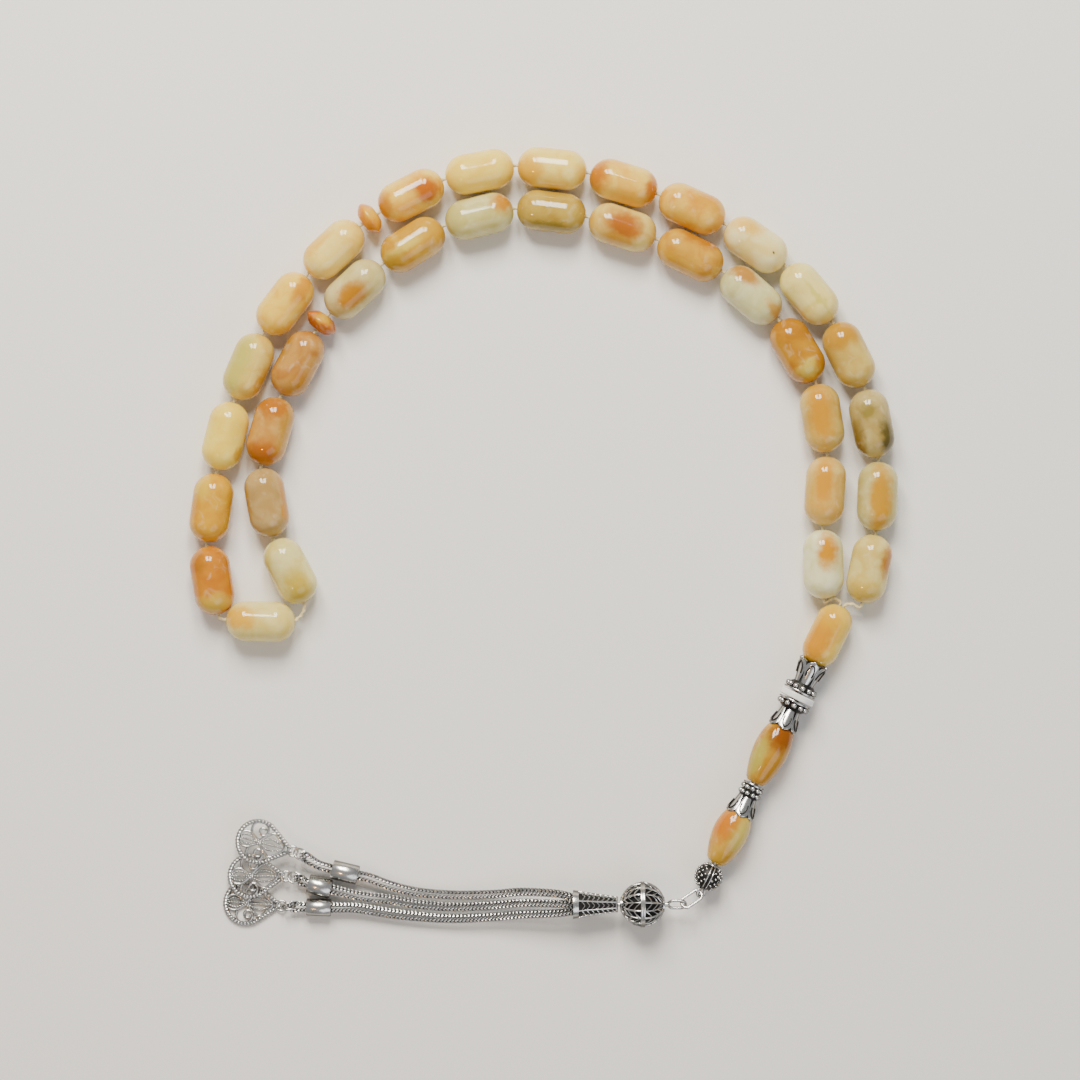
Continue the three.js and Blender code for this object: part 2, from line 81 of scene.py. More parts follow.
camera = bpy.data.cameras.new("camera")
camera.lens, camera.sensor_width = 100, 36
camera.clip_start, camera.clip_end = 0.05, 5
viewer = placed("camera", camera)
viewer.location = (*SEEN_MIDDLE, BEAD_HEIGHT + SEEN_WIDTH * camera.lens / camera.sensor_width)
bpy.context.scene.camera = viewer


# ---- Table and light ----
# A plain pale table, two tall soft window panes beyond the top of the arc, a weak fill from the other
# side, and one small warm lamp low on the left, which leaves a glint on each polished bead.
def tint(code):
    """A colour from its six-figure web code, as linear light."""
    parts = [int(code[i:i + 2], 16) / 255 for i in (0, 2, 4)]
    return (*[p / 12.92 if p <= 0.04045 else ((p + 0.055) / 1.055) ** 2.4 for p in parts], 1)


def lamp(name, size, place, power, colour):
    """A soft rectangular light that faces the beads; its size and place in metres, its power in watts."""
    light = bpy.data.lights.new(name, "AREA")
    light.shape, light.size, light.size_y = "RECTANGLE", *size
    light.energy, light.color = power, tint(colour)[:3]
    holder = placed(name, light)
    holder.location = place
    holder.rotation_euler = (-Vector(place)).to_track_quat("-Z", "Y").to_euler()


for side in (-1, 1):
    lamp(f"window_{side}", (0.15, 0.32), (-0.08 + 0.1 * side, 0.44, 0.5), 4.2, "fffaf2")
lamp("fill", (0.7, 0.5), (0.35, -0.5, 0.6), 1.8, "f4f6ff")
lamp("small_lamp", (0.012, 0.012), (-0.22, -0.2, 0.42), 0.25, "ffc98a")


def fill(made, *values, **sockets):
    """Fills a node's sockets, in order or by name, with values or with the outputs of other nodes."""
    for socket, value in [*enumerate(values), *sockets.items()]:
        target = made.inputs[socket if isinstance(socket, int) else socket.replace("_", " ")]
        if isinstance(value, bpy.types.NodeSocket):
            made.id_data.links.new(value, target)
        else:
            target.default_value = value


def new_look(name):
    """A new material and its main shader node."""
    look = bpy.data.materials.new(name)
    look.use_nodes = True
    return look, look.node_tree.nodes["Principled BSDF"]


world = bpy.data.worlds.new("room")
world.use_nodes = True
fill(world.node_tree.nodes["Background"], Color=tint("e6e9ee"), Strength=0.36)
bpy.context.scene.world = world

paint, shader = new_look("table")
fill(shader, Base_Color=tint("f4f1ea"), Roughness=0.85)
table = bpy.data.meshes.new("table")
table.from_pydata([(-3, -3, 0), (3, -3, 0), (3, 3, 0), (-3, 3, 0)], [], [(0, 1, 2, 3)])
table.materials.append(paint)
floor = placed("table", table)
floor.location.z = -0.05 * MM    # just clear of the beads


# ---- Cord ----
# One fine three-ply cord of cream silk. It is knotted under the neck, both its ends run up through the
# neck, and the loop between them carries the beads. It bends at the gaps between the beads.
def node(tree, kind, *values, **named):
    """One node of a tree. Capital names are its sockets, which values also fill in order; small ones are
    its settings. Its kind is given without its prefix, which follows from the tree."""
    own = tree.bl_idname.removesuffix("Tree") + kind
    made = tree.nodes.new(own if hasattr(bpy.types, own) else "ShaderNode" + kind)
    for setting in filter(str.islower, named):
        setattr(made, setting, named[setting])
    fill(made, *values, **{socket: value for socket, value in named.items() if not socket.islower()})
    return made


def output(tree, kind, *values, **named):
    """The first output of a new node."""
    return node(tree, kind, *values, **named).outputs[0]


def maths(tree, operation, *values):
    """A sum on numbers or sockets, as the socket that holds its answer."""
    return output(tree, "Math", *values, operation=operation)


def times(tree, first, second):
    """Two numbers or sockets multiplied."""
    return maths(tree, "MULTIPLY", first, second)


def add_socket(tree, label, kind, way="INPUT"):
    """A named input or output of a tree."""
    tree.interface.new_socket(label, in_out=way, socket_type="NodeSocket" + kind)


def new_tree(name, **inputs):
    """An empty Geometry Nodes tree with named inputs, and its input sockets."""
    tree = bpy.data.node_groups.new(name, "GeometryNodeTree")
    for label, kind in {"Geometry": "Geometry", **inputs}.items():
        add_socket(tree, label, kind)
    add_socket(tree, "Geometry", "Geometry", "OUTPUT")
    return tree, tree.nodes.new("NodeGroupInput").outputs


def finish_tree(tree, geometry, material):
    """Ends a tree: its instances made real, smooth, and in their material."""
    smooth = output(tree, "SetShadeSmooth", output(tree, "RealizeInstances", geometry))
    painted = output(tree, "SetMaterial", smooth, Material=material)
    fill(tree.nodes.new("NodeGroupOutput"), painted)
    return tree


def grown(tree, start=None, **values):
    """The plain mesh that a tree makes, from a curve to start from where it needs one."""
    seed = placed("seed", start or bpy.data.meshes.new("seed"))
    modifier = seed.modifiers.new("grow", "NODES")
    modifier.node_group = tree
    for item in tree.interface.items_tree:
        if item.in_out == "INPUT" and item.name in values:
            modifier[item.identifier] = values[item.name]
    mesh = bpy.data.meshes.new_from_object(seed.evaluated_get(bpy.context.evaluated_depsgraph_get()))
    seed.modifiers.remove(modifier)
    bpy.data.objects.remove(seed)
    return mesh


def stand(middle, way):
    """A frame in millimetres at a place, with Y along a level line and Z upwards."""
    across = way.cross(Vector((0, 0, 1))).normalized()
    turn = Matrix((across, way, across.cross(way))).transposed().to_4x4()
    return Matrix.Translation(middle) @ turn @ Matrix.Scale(MM, 4)


def corners(name):
    """A CAD piece's corners, in metres."""
    return np.array([v.co for v in frame["nodes"][name].data.vertices])


def lying(name):
    """The frame of a long turned piece: its middle, with Y along it, towards the top of the arc."""
    places = corners(name)
    way = Vector(np.linalg.eigh(np.cov((places - places.mean(0)).T))[1][:, -1])
    return stand(Vector(places.mean(0)), way if way.y > 0 else -way)


def new_group(name, outputs, **inputs):
    """An empty shader group with named inputs, its input sockets and its output node."""
    group = bpy.data.node_groups.new(name, "ShaderNodeTree")
    for label, kind in inputs.items():
        add_socket(group, label, kind)
    for label, kind in outputs.items():
        add_socket(group, label, kind, "OUTPUT")
    return group, group.nodes.new("NodeGroupInput").outputs, group.nodes.new("NodeGroupOutput")


def finished(name, mesh, body, slot, *nodes):
    """A finished piece in its place, riding on its body, with the CAD nodes it takes the place of hidden."""
    mesh.name = name
    piece = placed(name, mesh)
    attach(piece, body)
    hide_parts(*nodes)


def mixed(tree, amount, first, second):
    """Two colours mixed by an amount from 0 to 1."""
    made = node(tree, "Mix", data_type="RGBA")
    sockets = {found.identifier: found for found in made.inputs}
    for name, value in (("Factor_Float", amount), ("A_Color", first), ("B_Color", second)):
        if isinstance(value, bpy.types.NodeSocket):
            tree.links.new(value, sockets[name])
        else:
            sockets[name].default_value = value
    return next(found for found in made.outputs if found.identifier == "Result_Color")


def eased(tree, value, low, high):
    """A number turned into a mask that rises softly from 0 at low to 1 at high."""
    return output(tree, "MapRange", Value=value, From_Min=low, From_Max=high, interpolation_type="SMOOTHSTEP")


def noise(tree, place, scale, detail, distortion=0.0):
    """Soft random clouds."""
    return node(tree, "TexNoise", Vector=place, Scale=scale, Detail=detail, Distortion=distortion).outputs


def worn_finish():
    """A handled surface: faint duller patches, and a fine grain that changes its gloss and its height."""
    group, given, made = new_group("Worn finish", {"Color": "Color", "Roughness": "Float", "Height": "Float"},
                                   Vector="Vector", Color="Color", Dull="Color", Gloss="Float", Grain="Float")
    soft = noise(group, given["Vector"], 0.7, 4.0)[0]
    fine = noise(group, given["Vector"], given["Grain"], 3.0)[0]
    patches = times(group, eased(group, soft, 0.45, 0.75), 0.6)
    rough = maths(group, "MULTIPLY_ADD", fine, 0.12, maths(group, "SUBTRACT", given["Gloss"], 0.06))
    fill(made, Color=mixed(group, patches, given["Color"], given["Dull"]),
         Roughness=maths(group, "MULTIPLY_ADD", patches, 0.1, rough), Height=fine)
    return group


FINISH = worn_finish()


def look_of(name, colour, dull, roughness, metal=0.0, depth=0.02, grain=8.0, edge=None):
    """A material of one colour with duller patches; with an edge colour it also gets painted shade, darker
    where it turns away from the camera.
    Depth is the height of its grain in millimetres, and grain how many there are to a millimetre."""
    look, shader = new_look(name)
    tree = look.node_tree
    where = output(tree, "Mapping", node(tree, "TexCoord").outputs["Object"], Scale=(1 / MM, 1 / MM, 1 / MM))
    worn = node(tree, "Group", node_tree=FINISH, Vector=where, Color=tint(colour), Dull=tint(dull),
                Gloss=roughness, Grain=grain).outputs
    face = worn["Color"]
    if edge:
        # Painted shade: the edge colour darkens the surface where it turns away from the camera, standing for
        # dark reflections at the sides of round metal.
        away = node(tree, "LayerWeight", Blend=0.5).outputs["Facing"]
        face = mixed(tree, eased(tree, away, 0.12, 0.66), face, tint(edge))
    bumps = output(tree, "Bump", Height=worn["Height"], Strength=0.4, Distance=depth * MM)
    fill(shader, Base_Color=face, Roughness=worn["Roughness"], Normal=bumps, Metallic=metal)
    return look


def lines(*strokes, closed=False):
    """A curve of one or more lines through listed points, in millimetres."""
    curve = bpy.data.curves.new("lines", "CURVE")
    curve.dimensions = "3D"
    for stroke in strokes:
        spline = curve.splines.new("POLY")
        spline.points.add(len(stroke) - 1)
        spline.use_cyclic_u = closed
        for point, corner in zip(spline.points, stroke):
            point.co = (*corner, 1)
    return curve


def smoothed(tree, curve, step):
    """A curve made round at its corners, with a point at every step."""
    curve = output(tree, "CurveSplineType", Curve=curve, spline_type="CATMULL_ROM")
    return output(tree, "ResampleCurve", Curve=curve, Length=step, mode="LENGTH")


def circle(tree, sides, diameter):
    """The outline of a round wire."""
    radius = times(tree, diameter, 0.5)
    return node(tree, "CurvePrimitiveCircle", Resolution=sides, Radius=radius).outputs["Curve"]


def twisted_tree():
    """A twisted cord or wire: an oval section that turns as it goes along its line."""
    tree, given = new_tree("Twisted", Thickness="Float", Flatness="Float", Twist="Float", Step="Float",
                           Material="Material")
    line = smoothed(tree, given["Geometry"], given["Step"])
    length = node(tree, "SplineParameter").outputs["Length"]
    turn = times(tree, maths(tree, "DIVIDE", length, given["Twist"]), math.tau)
    line = output(tree, "SetCurveTilt", Curve=line, Tilt=turn)
    flat = output(tree, "CombineXYZ", 1.0, given["Flatness"], 1.0)
    oval = output(tree, "Transform", circle(tree, 10, given["Thickness"]), Scale=flat)
    rope = output(tree, "CurveToMesh", Curve=line, Profile_Curve=oval, Fill_Caps=True)
    return finish_tree(tree, rope, given["Material"])


CORD = dict(Thickness=0.8, Flatness=0.72, Twist=2.2, Step=0.16)
NECK_RUN = 0.48                # each run through the neck lies this far from its middle line
KNOT_AT = 52.7                 # down the neck from the middle of its upper bead
BEAD_MOUTH = 5.8               # from a bead's middle to where the cord leaves it
BEND_HALF = 1.2 * MM           # half of a stretch across a gap; a direction across each gap is scaled by it, and nothing reads that direction
OUTER = [f"bead_{n:02d}" for n in range(1, 18)]
INNER = [f"bead_{n:02d}" for n in range(33, 18, -1)]
silk = look_of("cream_silk", "e6d6a4", "cdb87c", 0.75, depth=0.05, grain=6.0)
twisted = twisted_tree()
joints = {(joint["parent"], joint["child"]): joint for joint in frame["joints"]}


def cord_mesh(runs):
    """The cord along one or more runs of points in millimetres."""
    mesh = grown(twisted, lines(*runs), **CORD, Material=silk)
    mesh.transform(Matrix.Scale(MM, 4))
    return mesh


def bent_cord(name, runs):
    """A stretch of the cord along one or more runs of points in millimetres."""
    piece = placed(name, cord_mesh(runs))
    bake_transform(piece)
    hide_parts("cord")


# The neck's frame: from the middle of its upper bead, with Y down towards the knot.
neck_bead_turn = joints["neck", "neck_bead"]
neck_way = Vector(neck_bead_turn["axis"]) * (1 if neck_bead_turn["axis"][1] < 0 else -1)
neck = stand(Vector(corners("neck_bead").mean(0)), neck_way)


def neck_run(side, *distances):
    """Points of one of the two runs through the neck, at distances down it."""
    return [neck @ Vector((side * NECK_RUN, s, 0)) / MM for s in distances]


KNOT_LOOPS = 0.36              # size of the trefoil that the knot's last turn lies in
turns = [math.tau * k / 36 for k in range(37)]
knot = [neck @ (Vector((math.sin(t) + 2 * math.sin(2 * t), 0, math.cos(t) - 2 * math.cos(2 * t))) * KNOT_LOOPS
                + Vector((0, KNOT_AT - 0.55 * math.sin(3 * t), 0))) / MM for t in turns]
runs = [neck_run(side, KNOT_AT, 40, 20, -5) for side in (-1, 1)]
finished("cord_in_neck", cord_mesh([*runs, knot]), "neck", "cord", "cord")


def strand(names):
    """Each bead's two cord mouths in millimetres, in the order the cord meets them from the neck."""
    pairs, last = [], neck.translation / MM
    for name in names:
        middle = lying(name)
        pair = sorted((middle @ Vector((0, y, 0)) / MM for y in (-BEAD_MOUTH, BEAD_MOUTH)),
                      key=lambda p: (p - last).length)
        pairs.append(pair)
        last = pair[1]
    return pairs


# Two facing gaps lie side by side at these beads; the cord is made in one stretch for each two of them that
# follow each other.
CARRIERS = [1, 2, 3, 4, 5, 7, 8, 9, 10, 11, 12, 13, 15, 16, 17]
out_beads, in_beads = strand(OUTER), strand(INNER)
# Between the neck bead's mouth and the first bead of each strand, the cord turns through these points.
lead_out = [Vector(p) for p in ((60.66, -13.07, 3.8), (61.86, -13.67, 3.9))]
lead_back = [Vector(p) for p in ((56.9, -11.85, 3.9), (55.8, -12.25, 3.95), (55.06, -12.6, 3.95))]


def half_way(pair):
    return (pair[0] + pair[1]) / 2


top = Vector(joints["neck", "bead_01"]["pos_m"])
for name, side, lead, bead in (("cord_to_strand", -1, lead_out, out_beads[0]),
                               ("cord_from_strand", 1, lead_back, in_beads[0])):
    way = bead[0] * MM - top
    run = [*neck_run(side, -5, -6.8), *lead, bead[0], half_way(bead)]
    bent_cord(name, [run])

for k, (bead, after) in enumerate(zip(CARRIERS, CARRIERS[1:])):
    last = CARRIERS[k + 2] - 1 if k + 2 < len(CARRIERS) else 17
    out_run = [half_way(out_beads[after - 2]), out_beads[after - 2][1]]
    out_run += [point for pair in out_beads[after - 1:last] for point in pair]
    in_run = [half_way(in_beads[k]), in_beads[k][1], in_beads[k + 1][0]]
    if last < 17:
        runs = [[*out_run[:-1], half_way(out_beads[last - 1])], [*in_run, half_way(in_beads[k + 1])]]
    else:
        last_bead = strand(["bead_18"])[0]
        facing = sorted(last_bead, key=lambda p: (p - out_run[-1]).length)
        runs = [[*out_run, *facing, in_beads[k + 1][1], *reversed(in_run)]]
    gaps = (out_beads[after - 2][1] + out_beads[after - 1][0]) / 2, (in_beads[k][1] + in_beads[k + 1][0]) / 2
    way = (gaps[0] - gaps[1]).cross(Vector((0, 0, 1))).normalized()
    way *= BEND_HALF if way.dot(out_beads[after - 1][0] - out_beads[after - 2][1]) > 0 else -BEND_HALF
    bent_cord(f"cord_{k + 1:02d}", runs)


# ---- Beads ----
# Thirty-three capsules turned from yellow, cream and grey-green agate, drilled end to end and polished.
# Every stone has its own clouds and stains, so each gets a material of its own.
def sweep(tree, curve, thickness, sides, caps=True):
    """A curve as a round wire of a given diameter."""
    ring = circle(tree, sides, thickness)
    return output(tree, "CurveToMesh", Curve=curve, Profile_Curve=ring, Fill_Caps=caps)


def joined(tree, *parts):
    """Several meshes as one."""
    both = node(tree, "JoinGeometry")
    for part in parts:
        fill(both, part)
    return both.outputs[0]


def capsule_tree():
    """A capsule along Y: a line whose radius follows the barrel and the two round ends, with a bore."""
    tree, given = new_tree("Capsule", Diameter="Float", Length="Float", Bore="Float", Material="Material")
    radius = times(tree, given["Diameter"], 0.5)
    barrel = maths(tree, "SUBTRACT", times(tree, given["Length"], 0.5), radius)
    mouth = maths(tree, "ARCCOSINE", maths(tree, "DIVIDE", given["Bore"], given["Diameter"]))
    reach = maths(tree, "ADD", barrel, times(tree, radius, mouth))
    line = output(tree, "ResampleCurve", Curve=output(tree, "CurvePrimitiveLine"), Count=37)
    factor = node(tree, "SplineParameter").outputs["Factor"]
    outline = times(tree, maths(tree, "MULTIPLY_ADD", factor, 2.0, -1.0), reach)
    size = maths(tree, "ABSOLUTE", outline)
    turn = maths(tree, "DIVIDE", maths(tree, "MAXIMUM", maths(tree, "SUBTRACT", size, barrel), 0.0), radius)
    swell = times(tree, radius, maths(tree, "COSINE", turn))
    line = output(tree, "SetCurveRadius", Curve=line, Radius=swell)
    round_end = times(tree, radius, maths(tree, "SINE", turn))
    along = maths(tree, "ADD", maths(tree, "MINIMUM", size, barrel), round_end)
    along = times(tree, along, maths(tree, "SIGN", outline))
    line = output(tree, "SetPosition", line, Position=output(tree, "CombineXYZ", Y=along))
    skin = output(tree, "CurveToMesh", Curve=line, Profile_Curve=circle(tree, 40, 2.0),
                  Scale=output(tree, "InputRadius"))
    end = maths(tree, "ADD", barrel, times(tree, radius, maths(tree, "SINE", mouth)))
    ends = [output(tree, "CombineXYZ", Y=times(tree, end, side)) for side in (-1.0, 1.0)]
    drill = output(tree, "CurvePrimitiveLine", Start=ends[0], End=ends[1])
    hole = output(tree, "FlipFaces", sweep(tree, drill, given["Bore"], 40, False))
    whole = output(tree, "MergeByDistance", joined(tree, hole, skin), Distance=0.002)
    return finish_tree(tree, whole, given["Material"])


capsule = capsule_tree()


def shifted(group, operation, *vectors, **named):
    """A sum on vectors, as the socket that holds its answer."""
    return output(group, "VectorMath", *vectors, operation=operation, **named)


def cloudy_stone():
    """Agate: soft clouds of a second colour in the ground colour, and faint paler and darker flow lines."""
    group, given, made = new_group("Cloudy stone", {"Color": "Color", "Fine": "Float"}, Vector="Vector",
                                   Ground="Color", Cloud="Color", Cloudiness="Float", Seed="Float")
    seed = given["Seed"]
    offset = output(group, "CombineXYZ", X=seed, Y=times(group, seed, 1.7))
    place = shifted(group, "ADD", given["Vector"], offset)
    soft = noise(group, place, 0.22, 2.0, 0.6)[0]
    flow = noise(group, place, 0.4, 2.5, 0.9)[0]
    clouds = times(group, eased(group, soft, 0.36, 0.66), given["Cloudiness"])
    light = times(group, eased(group, flow, 0.55, 0.8), 0.2)
    dark = times(group, eased(group, flow, 0.45, 0.25), 0.3)
    pale = mixed(group, light, mixed(group, clouds, given["Ground"], given["Cloud"]), tint("f6edcf"))
    fill(made, Color=mixed(group, dark, pale, given["Cloud"]), Fine=noise(group, place, 3.5, 3.0)[0])
    return group


def stain_group():
    """A soft-edged stain inside the stone, longer or wider as its size says."""
    group, given, made = new_group("Stain", {"Color": "Color"}, Vector="Vector", Color="Color", Stain="Color",
                                   Place="Vector", Size="Vector", Strength="Float")
    rough = noise(group, given["Vector"], 0.55, 4.0)["Color"]
    pushed = shifted(group, "SCALE", shifted(group, "SUBTRACT", rough, (0.5, 0.5, 0.5)), Scale=2.6)
    place = shifted(group, "ADD", shifted(group, "SUBTRACT", given["Vector"], given["Place"]), pushed)
    place = shifted(group, "DIVIDE", place, given["Size"])
    far = node(group, "VectorMath", place, operation="LENGTH").outputs["Value"]
    inside = times(group, eased(group, far, 1.3, 0.4), given["Strength"])
    fill(made, Color=mixed(group, inside, given["Color"], given["Stain"]))
    return group


STONE_CLOUDS, STONE_STAIN = cloudy_stone(), stain_group()


def deep(code, green_power=1.42):
    """A stone's colour, made deeper because its polish and the light inside it wash it out."""
    red, green, blue, _ = tint(code)
    return 0.94 * red ** 1.25, 0.94 * green ** green_power, 0.9 * blue ** 1.8, 1


STAIN_HEIGHT, STAIN_DEPTH, STAIN_SPREAD = 3.2, 3.6, 1.35


def stone(name, place, ground, cloud, seed, stains):
    """A polished stone. Each stain is (right, up, length, width, colour, strength) on the upper face."""
    look, shader = new_look(name)
    tree = look.node_tree
    at, turn, _ = place.decompose()
    where = output(tree, "Mapping", node(tree, "TexCoord").outputs["Object"], Location=at,
                   Rotation=turn.to_euler(), Scale=(MM, MM, MM), vector_type="TEXTURE")
    body = node(tree, "Group", node_tree=STONE_CLOUDS, Vector=where, Ground=deep(ground), Cloud=deep(cloud),
                Cloudiness=0.75, Seed=seed).outputs
    colour = body["Color"]
    for right, up, length, width, stain, strength in stains:
        spot = turn.inverted() @ Vector((right, up, 0))
        colour = output(tree, "Group", node_tree=STONE_STAIN, Vector=where, Color=colour,
                        Stain=deep(stain, 1.02), Place=(spot.x, spot.y, STAIN_HEIGHT), Strength=strength,
                        Size=(width * STAIN_SPREAD, length * STAIN_SPREAD, STAIN_DEPTH))
    fill(shader, Base_Color=colour, Roughness=maths(tree, "MULTIPLY_ADD", body["Fine"], 0.06, 0.05), IOR=1.54,
         Subsurface_Weight=0.2, Subsurface_Radius=(0.0022, 0.0017, 0.0009), Subsurface_Scale=1.0)
    return look


def span(name, place):
    """Where a piece starts and ends along the Y axis of a frame, and its largest radius round it."""
    local = [place.inverted() @ Vector(c) for c in corners(name)]
    return min(p.y for p in local), max(p.y for p in local), max(math.hypot(p.x, p.z) for p in local)


def capsule_bead(name, label, look, place, bore):
    """A capsule bead as long and as thick as its CAD piece, in its place."""
    start, end, radius = span(name, place)
    bead = grown(capsule, Diameter=2 * radius, Length=end - start, Bore=bore, Material=look)
    bead.transform(place)
    finished(label, bead, name, "bead_stone", name)


# For each bead from the neck out and back: its ground colour, its cloud colour and its stains.
BEAD_STONES = [
    ("eadfb2", "d9c488", [(3.6, 1.6, 3.0, 1.3, "c3701a", 0.9), (-1.4, -4.4, 2.6, 2.2, "d2a23c", 0.7)]),
    ("ddd9b6", "c9bf90", [(0.2, -1.0, 6.6, 1.8, "d08e1c", 0.95)]),
    ("cabf9c", "b5a478", [(-1.0, 2.4, 1.2, 1.5, "8d6a3a", 0.6), (3.2, -3.0, 3.4, 1.5, "54391c", 0.85),
                          (-2.8, -3.4, 3.6, 1.1, "85551d", 0.8)]),
    ("dccb96", "cbb274", [(-2.0, 4.2, 2.8, 3.4, "c8861f", 0.9)]),
    ("f1e6b4", "e3d193", [(1.5, -1.0, 3.4, 0.5, "cdb56c", 0.5)]),
    ("f5eac6", "ecd79c", [(-2.0, 3.8, 3.0, 1.6, "efb352", 0.7), (3.2, -1.9, 0.3, 0.3, "3a2c18", 0.9)]),
    ("f0d084", "e0a94a", [(3.2, 1.2, 2.6, 2.0, "d78e28", 0.7), (-2.2, -2.4, 3.0, 1.4, "e2a43c", 0.6)]),
    ("f6dd94", "eebf5a", [(-5.8, 1.6, 2.2, 3.6, "cc7410", 0.95), (6.0, -1.5, 1.5, 3.4, "cc6c0e", 0.95),
                          (0.8, -3.2, 4.2, 1.2, "dd9a2c", 0.7)]),
    ("fbe6a0", "f3d277", [(-4.6, -0.6, 2.4, 2.4, "eba93c", 0.8), (6.0, -1.6, 1.2, 2.4, "eeb654", 0.6)]),
    ("fde698", "f8d978", []),
    ("f6da88", "eab44c", [(3.0, 0.8, 2.2, 1.9, "c66508", 1.0), (-5.8, -2.2, 1.9, 2.6, "d07c14", 0.9)]),
    ("f9e3a4", "f3d078", [(-3.4, 1.2, 3.2, 1.2, "ecab44", 0.6)]),
    ("f8da86", "f0c45e", [(4.0, 3.2, 3.4, 1.1, "d98a2c", 0.85)]),
    ("ecd79a", "dcc078", [(-2.0, 0.4, 6.6, 2.0, "cdb98a", 0.8), (2.8, -3.6, 3.0, 1.3, "d9932a", 0.9)]),
    ("fbe694", "f5d878", [(2.8, -4.2, 1.5, 0.8, "dc9a34", 0.8)]),
    ("e2bc58", "d6a63e", [(-1.6, 4.0, 2.0, 1.6, "e6c47a", 0.5)]),
    ("d8a444", "c88c2c", [(0.8, -4.6, 1.8, 2.6, "e0bb78", 0.75), (-2.4, 4.0, 2.0, 1.2, "b86c10", 0.7)]),
    ("f3e8ba", "e6d490", [(-4.0, 0.6, 3.0, 1.8, "e9a836", 0.85)]),
    ("e9e2b8", "dccf90", [(1.8, -2.9, 3.2, 2.0, "c99e34", 0.8)]),
    ("cdb999", "b9a27c", [(3.8, 0.0, 6.0, 0.7, "cd8226", 0.9), (-3.8, 0.0, 6.0, 0.6, "c98a3c", 0.7)]),
    ("dcbc8c", "c99a5c", [(0.6, 4.6, 1.6, 3.4, "c06a12", 0.95), (-1.2, -4.6, 2.2, 3.4, "bc6208", 0.95),
                          (3.0, 0.0, 5.0, 0.9, "c98a3a", 0.7)]),
    ("cfac7c", "b88850", [(-3.0, 3.6, 4.0, 1.4, "a96a1c", 0.85), (1.0, -5.0, 1.8, 2.6, "c07c2a", 0.8)]),
    ("ded6b4", "cfc598", [(-0.6, -1.6, 3.2, 2.0, "c07810", 1.0)]),
    ("dcbb62", "caa23e", [(-2.0, -1.0, 3.6, 0.9, "efdf9e", 0.5), (-3.6, -3.4, 2.2, 1.4, "b8801e", 0.7)]),
    ("dfdbb6", "cec892", [(4.8, 2.6, 1.9, 1.8, "d08222", 0.95)]),
    ("cbb87a", "b59c52", [(0.0, -3.2, 5.4, 0.7, "96701e", 0.7)]),
    ("ead9a2", "ddb868", [(0.2, 0.0, 3.4, 2.2, "b85c08", 0.95), (-1.8, -2.6, 3.0, 1.2, "cf8a22", 0.7)]),
    ("dcb86a", "c99c44", [(1.6, 3.0, 4.0, 1.2, "bf700f", 0.9), (-4.4, -1.8, 2.0, 2.0, "d6982e", 0.6)]),
    ("e4e2c6", "d3d1ac", [(-1.6, 4.2, 3.2, 1.5, "c07614", 0.9), (5.0, -3.4, 2.4, 1.2, "cf8c38", 0.8)]),
    ("cca546", "b98c2c", [(1.8, -3.6, 1.6, 1.6, "e0cd8c", 0.6)]),
    ("ddc890", "cbae6a", [(-0.6, 1.2, 5.4, 1.9, "d68e1c", 0.95)]),
    ("e8d2a0", "dab674", [(-0.6, 2.0, 4.2, 1.6, "dc922a", 0.9), (-3.6, -1.0, 4.4, 0.9, "d6a04c", 0.7)]),
    ("f1efd6", "e2dfba", [(0.5, 2.6, 2.9, 1.6, "dc9218", 1.0)]),
]

for number, (ground, cloud, stains) in enumerate(BEAD_STONES, 1):
    name = f"bead_{number:02d}"
    place = lying(name)
    look = stone(f"stone_{number:02d}", place, ground, cloud, 7.3 * number, stains)
    capsule_bead(name, f"stone_bead_{number:02d}", look, place, 1.6)


# ---- Dividers ----
# Two thin lenses of golden amber, threaded with the beads to mark off the thirds of the strand.
def turned(profile, look, sides=48, open_ends=False):
    """A turned piece round Y from [radius, place along Y] corners, closed round its bore or at its ends."""
    points = [(r * math.cos(t), y, r * math.sin(t)) for r, y in profile
              for t in (math.tau * k / sides for k in range(sides))]
    rows = len(profile) if not open_ends else len(profile) - 1
    faces = [[a * sides + k, a * sides + (k + 1) % sides, b * sides + (k + 1) % sides, b * sides + k]
             for a in range(rows) for b in [(a + 1) % len(profile)] for k in range(sides)]
    if open_ends:
        faces += [list(range(sides)), list(range(len(points) - sides, len(points)))]
    return points, faces, look


def built(*parts, place=None):
    """One mesh of closed parts, each a mesh or its (corners, faces, look), moved to its place."""
    points, faces, looks, which = [], [], [], []
    for part in parts:
        if isinstance(part, bpy.types.Mesh):
            part = [v.co[:] for v in part.vertices], [p.vertices[:] for p in part.polygons], part.materials[-1]
        if part[2] not in looks:
            looks.append(part[2])
        faces += [[i + len(points) for i in face] for face in part[1]]
        points += part[0]
        which += [looks.index(part[2])] * len(part[1])
    mesh = bpy.data.meshes.new("built")
    mesh.from_pydata(points, [], faces)
    for look in looks:
        mesh.materials.append(look)
    mesh.polygons.foreach_set("material_index", which)
    shape = bmesh.new()
    shape.from_mesh(mesh)
    bmesh.ops.recalc_face_normals(shape, faces=shape.faces)
    shape.to_mesh(mesh)
    shape.free()
    mesh.shade_smooth()
    mesh.set_sharp_from_angle(angle=math.radians(55))
    mesh.transform(place or Matrix.Scale(MM, 4))
    return mesh


LENS = [(0.8, -1.55), (1.2, -1.72), (1.8, -1.6), (2.5, -1.12), (3.05, -0.55), (3.26, -0.2), (3.3, 0)]
LENS += [(r, -y) for r, y in reversed(LENS[:-1])]

for number, colours in enumerate([("eab84a", "d89628"), ("cc8a34", "a8641c")], 1):
    name = f"divider_{number}"
    way = Vector(joints[next(pair for pair in joints if pair[1] == name)]["axis"])
    place = stand(Vector(corners(name).mean(0)), way if way.y > 0 else -way)
    look = stone(f"amber_{number}", place, *colours, 3.1 * number, [(0.6, 1.0, 1.2, 1.4, "f4cc70", 0.5)])
    finished(f"amber_lens_{number}", built(turned(LENS, look), place=place), name, "divider_stone", name)


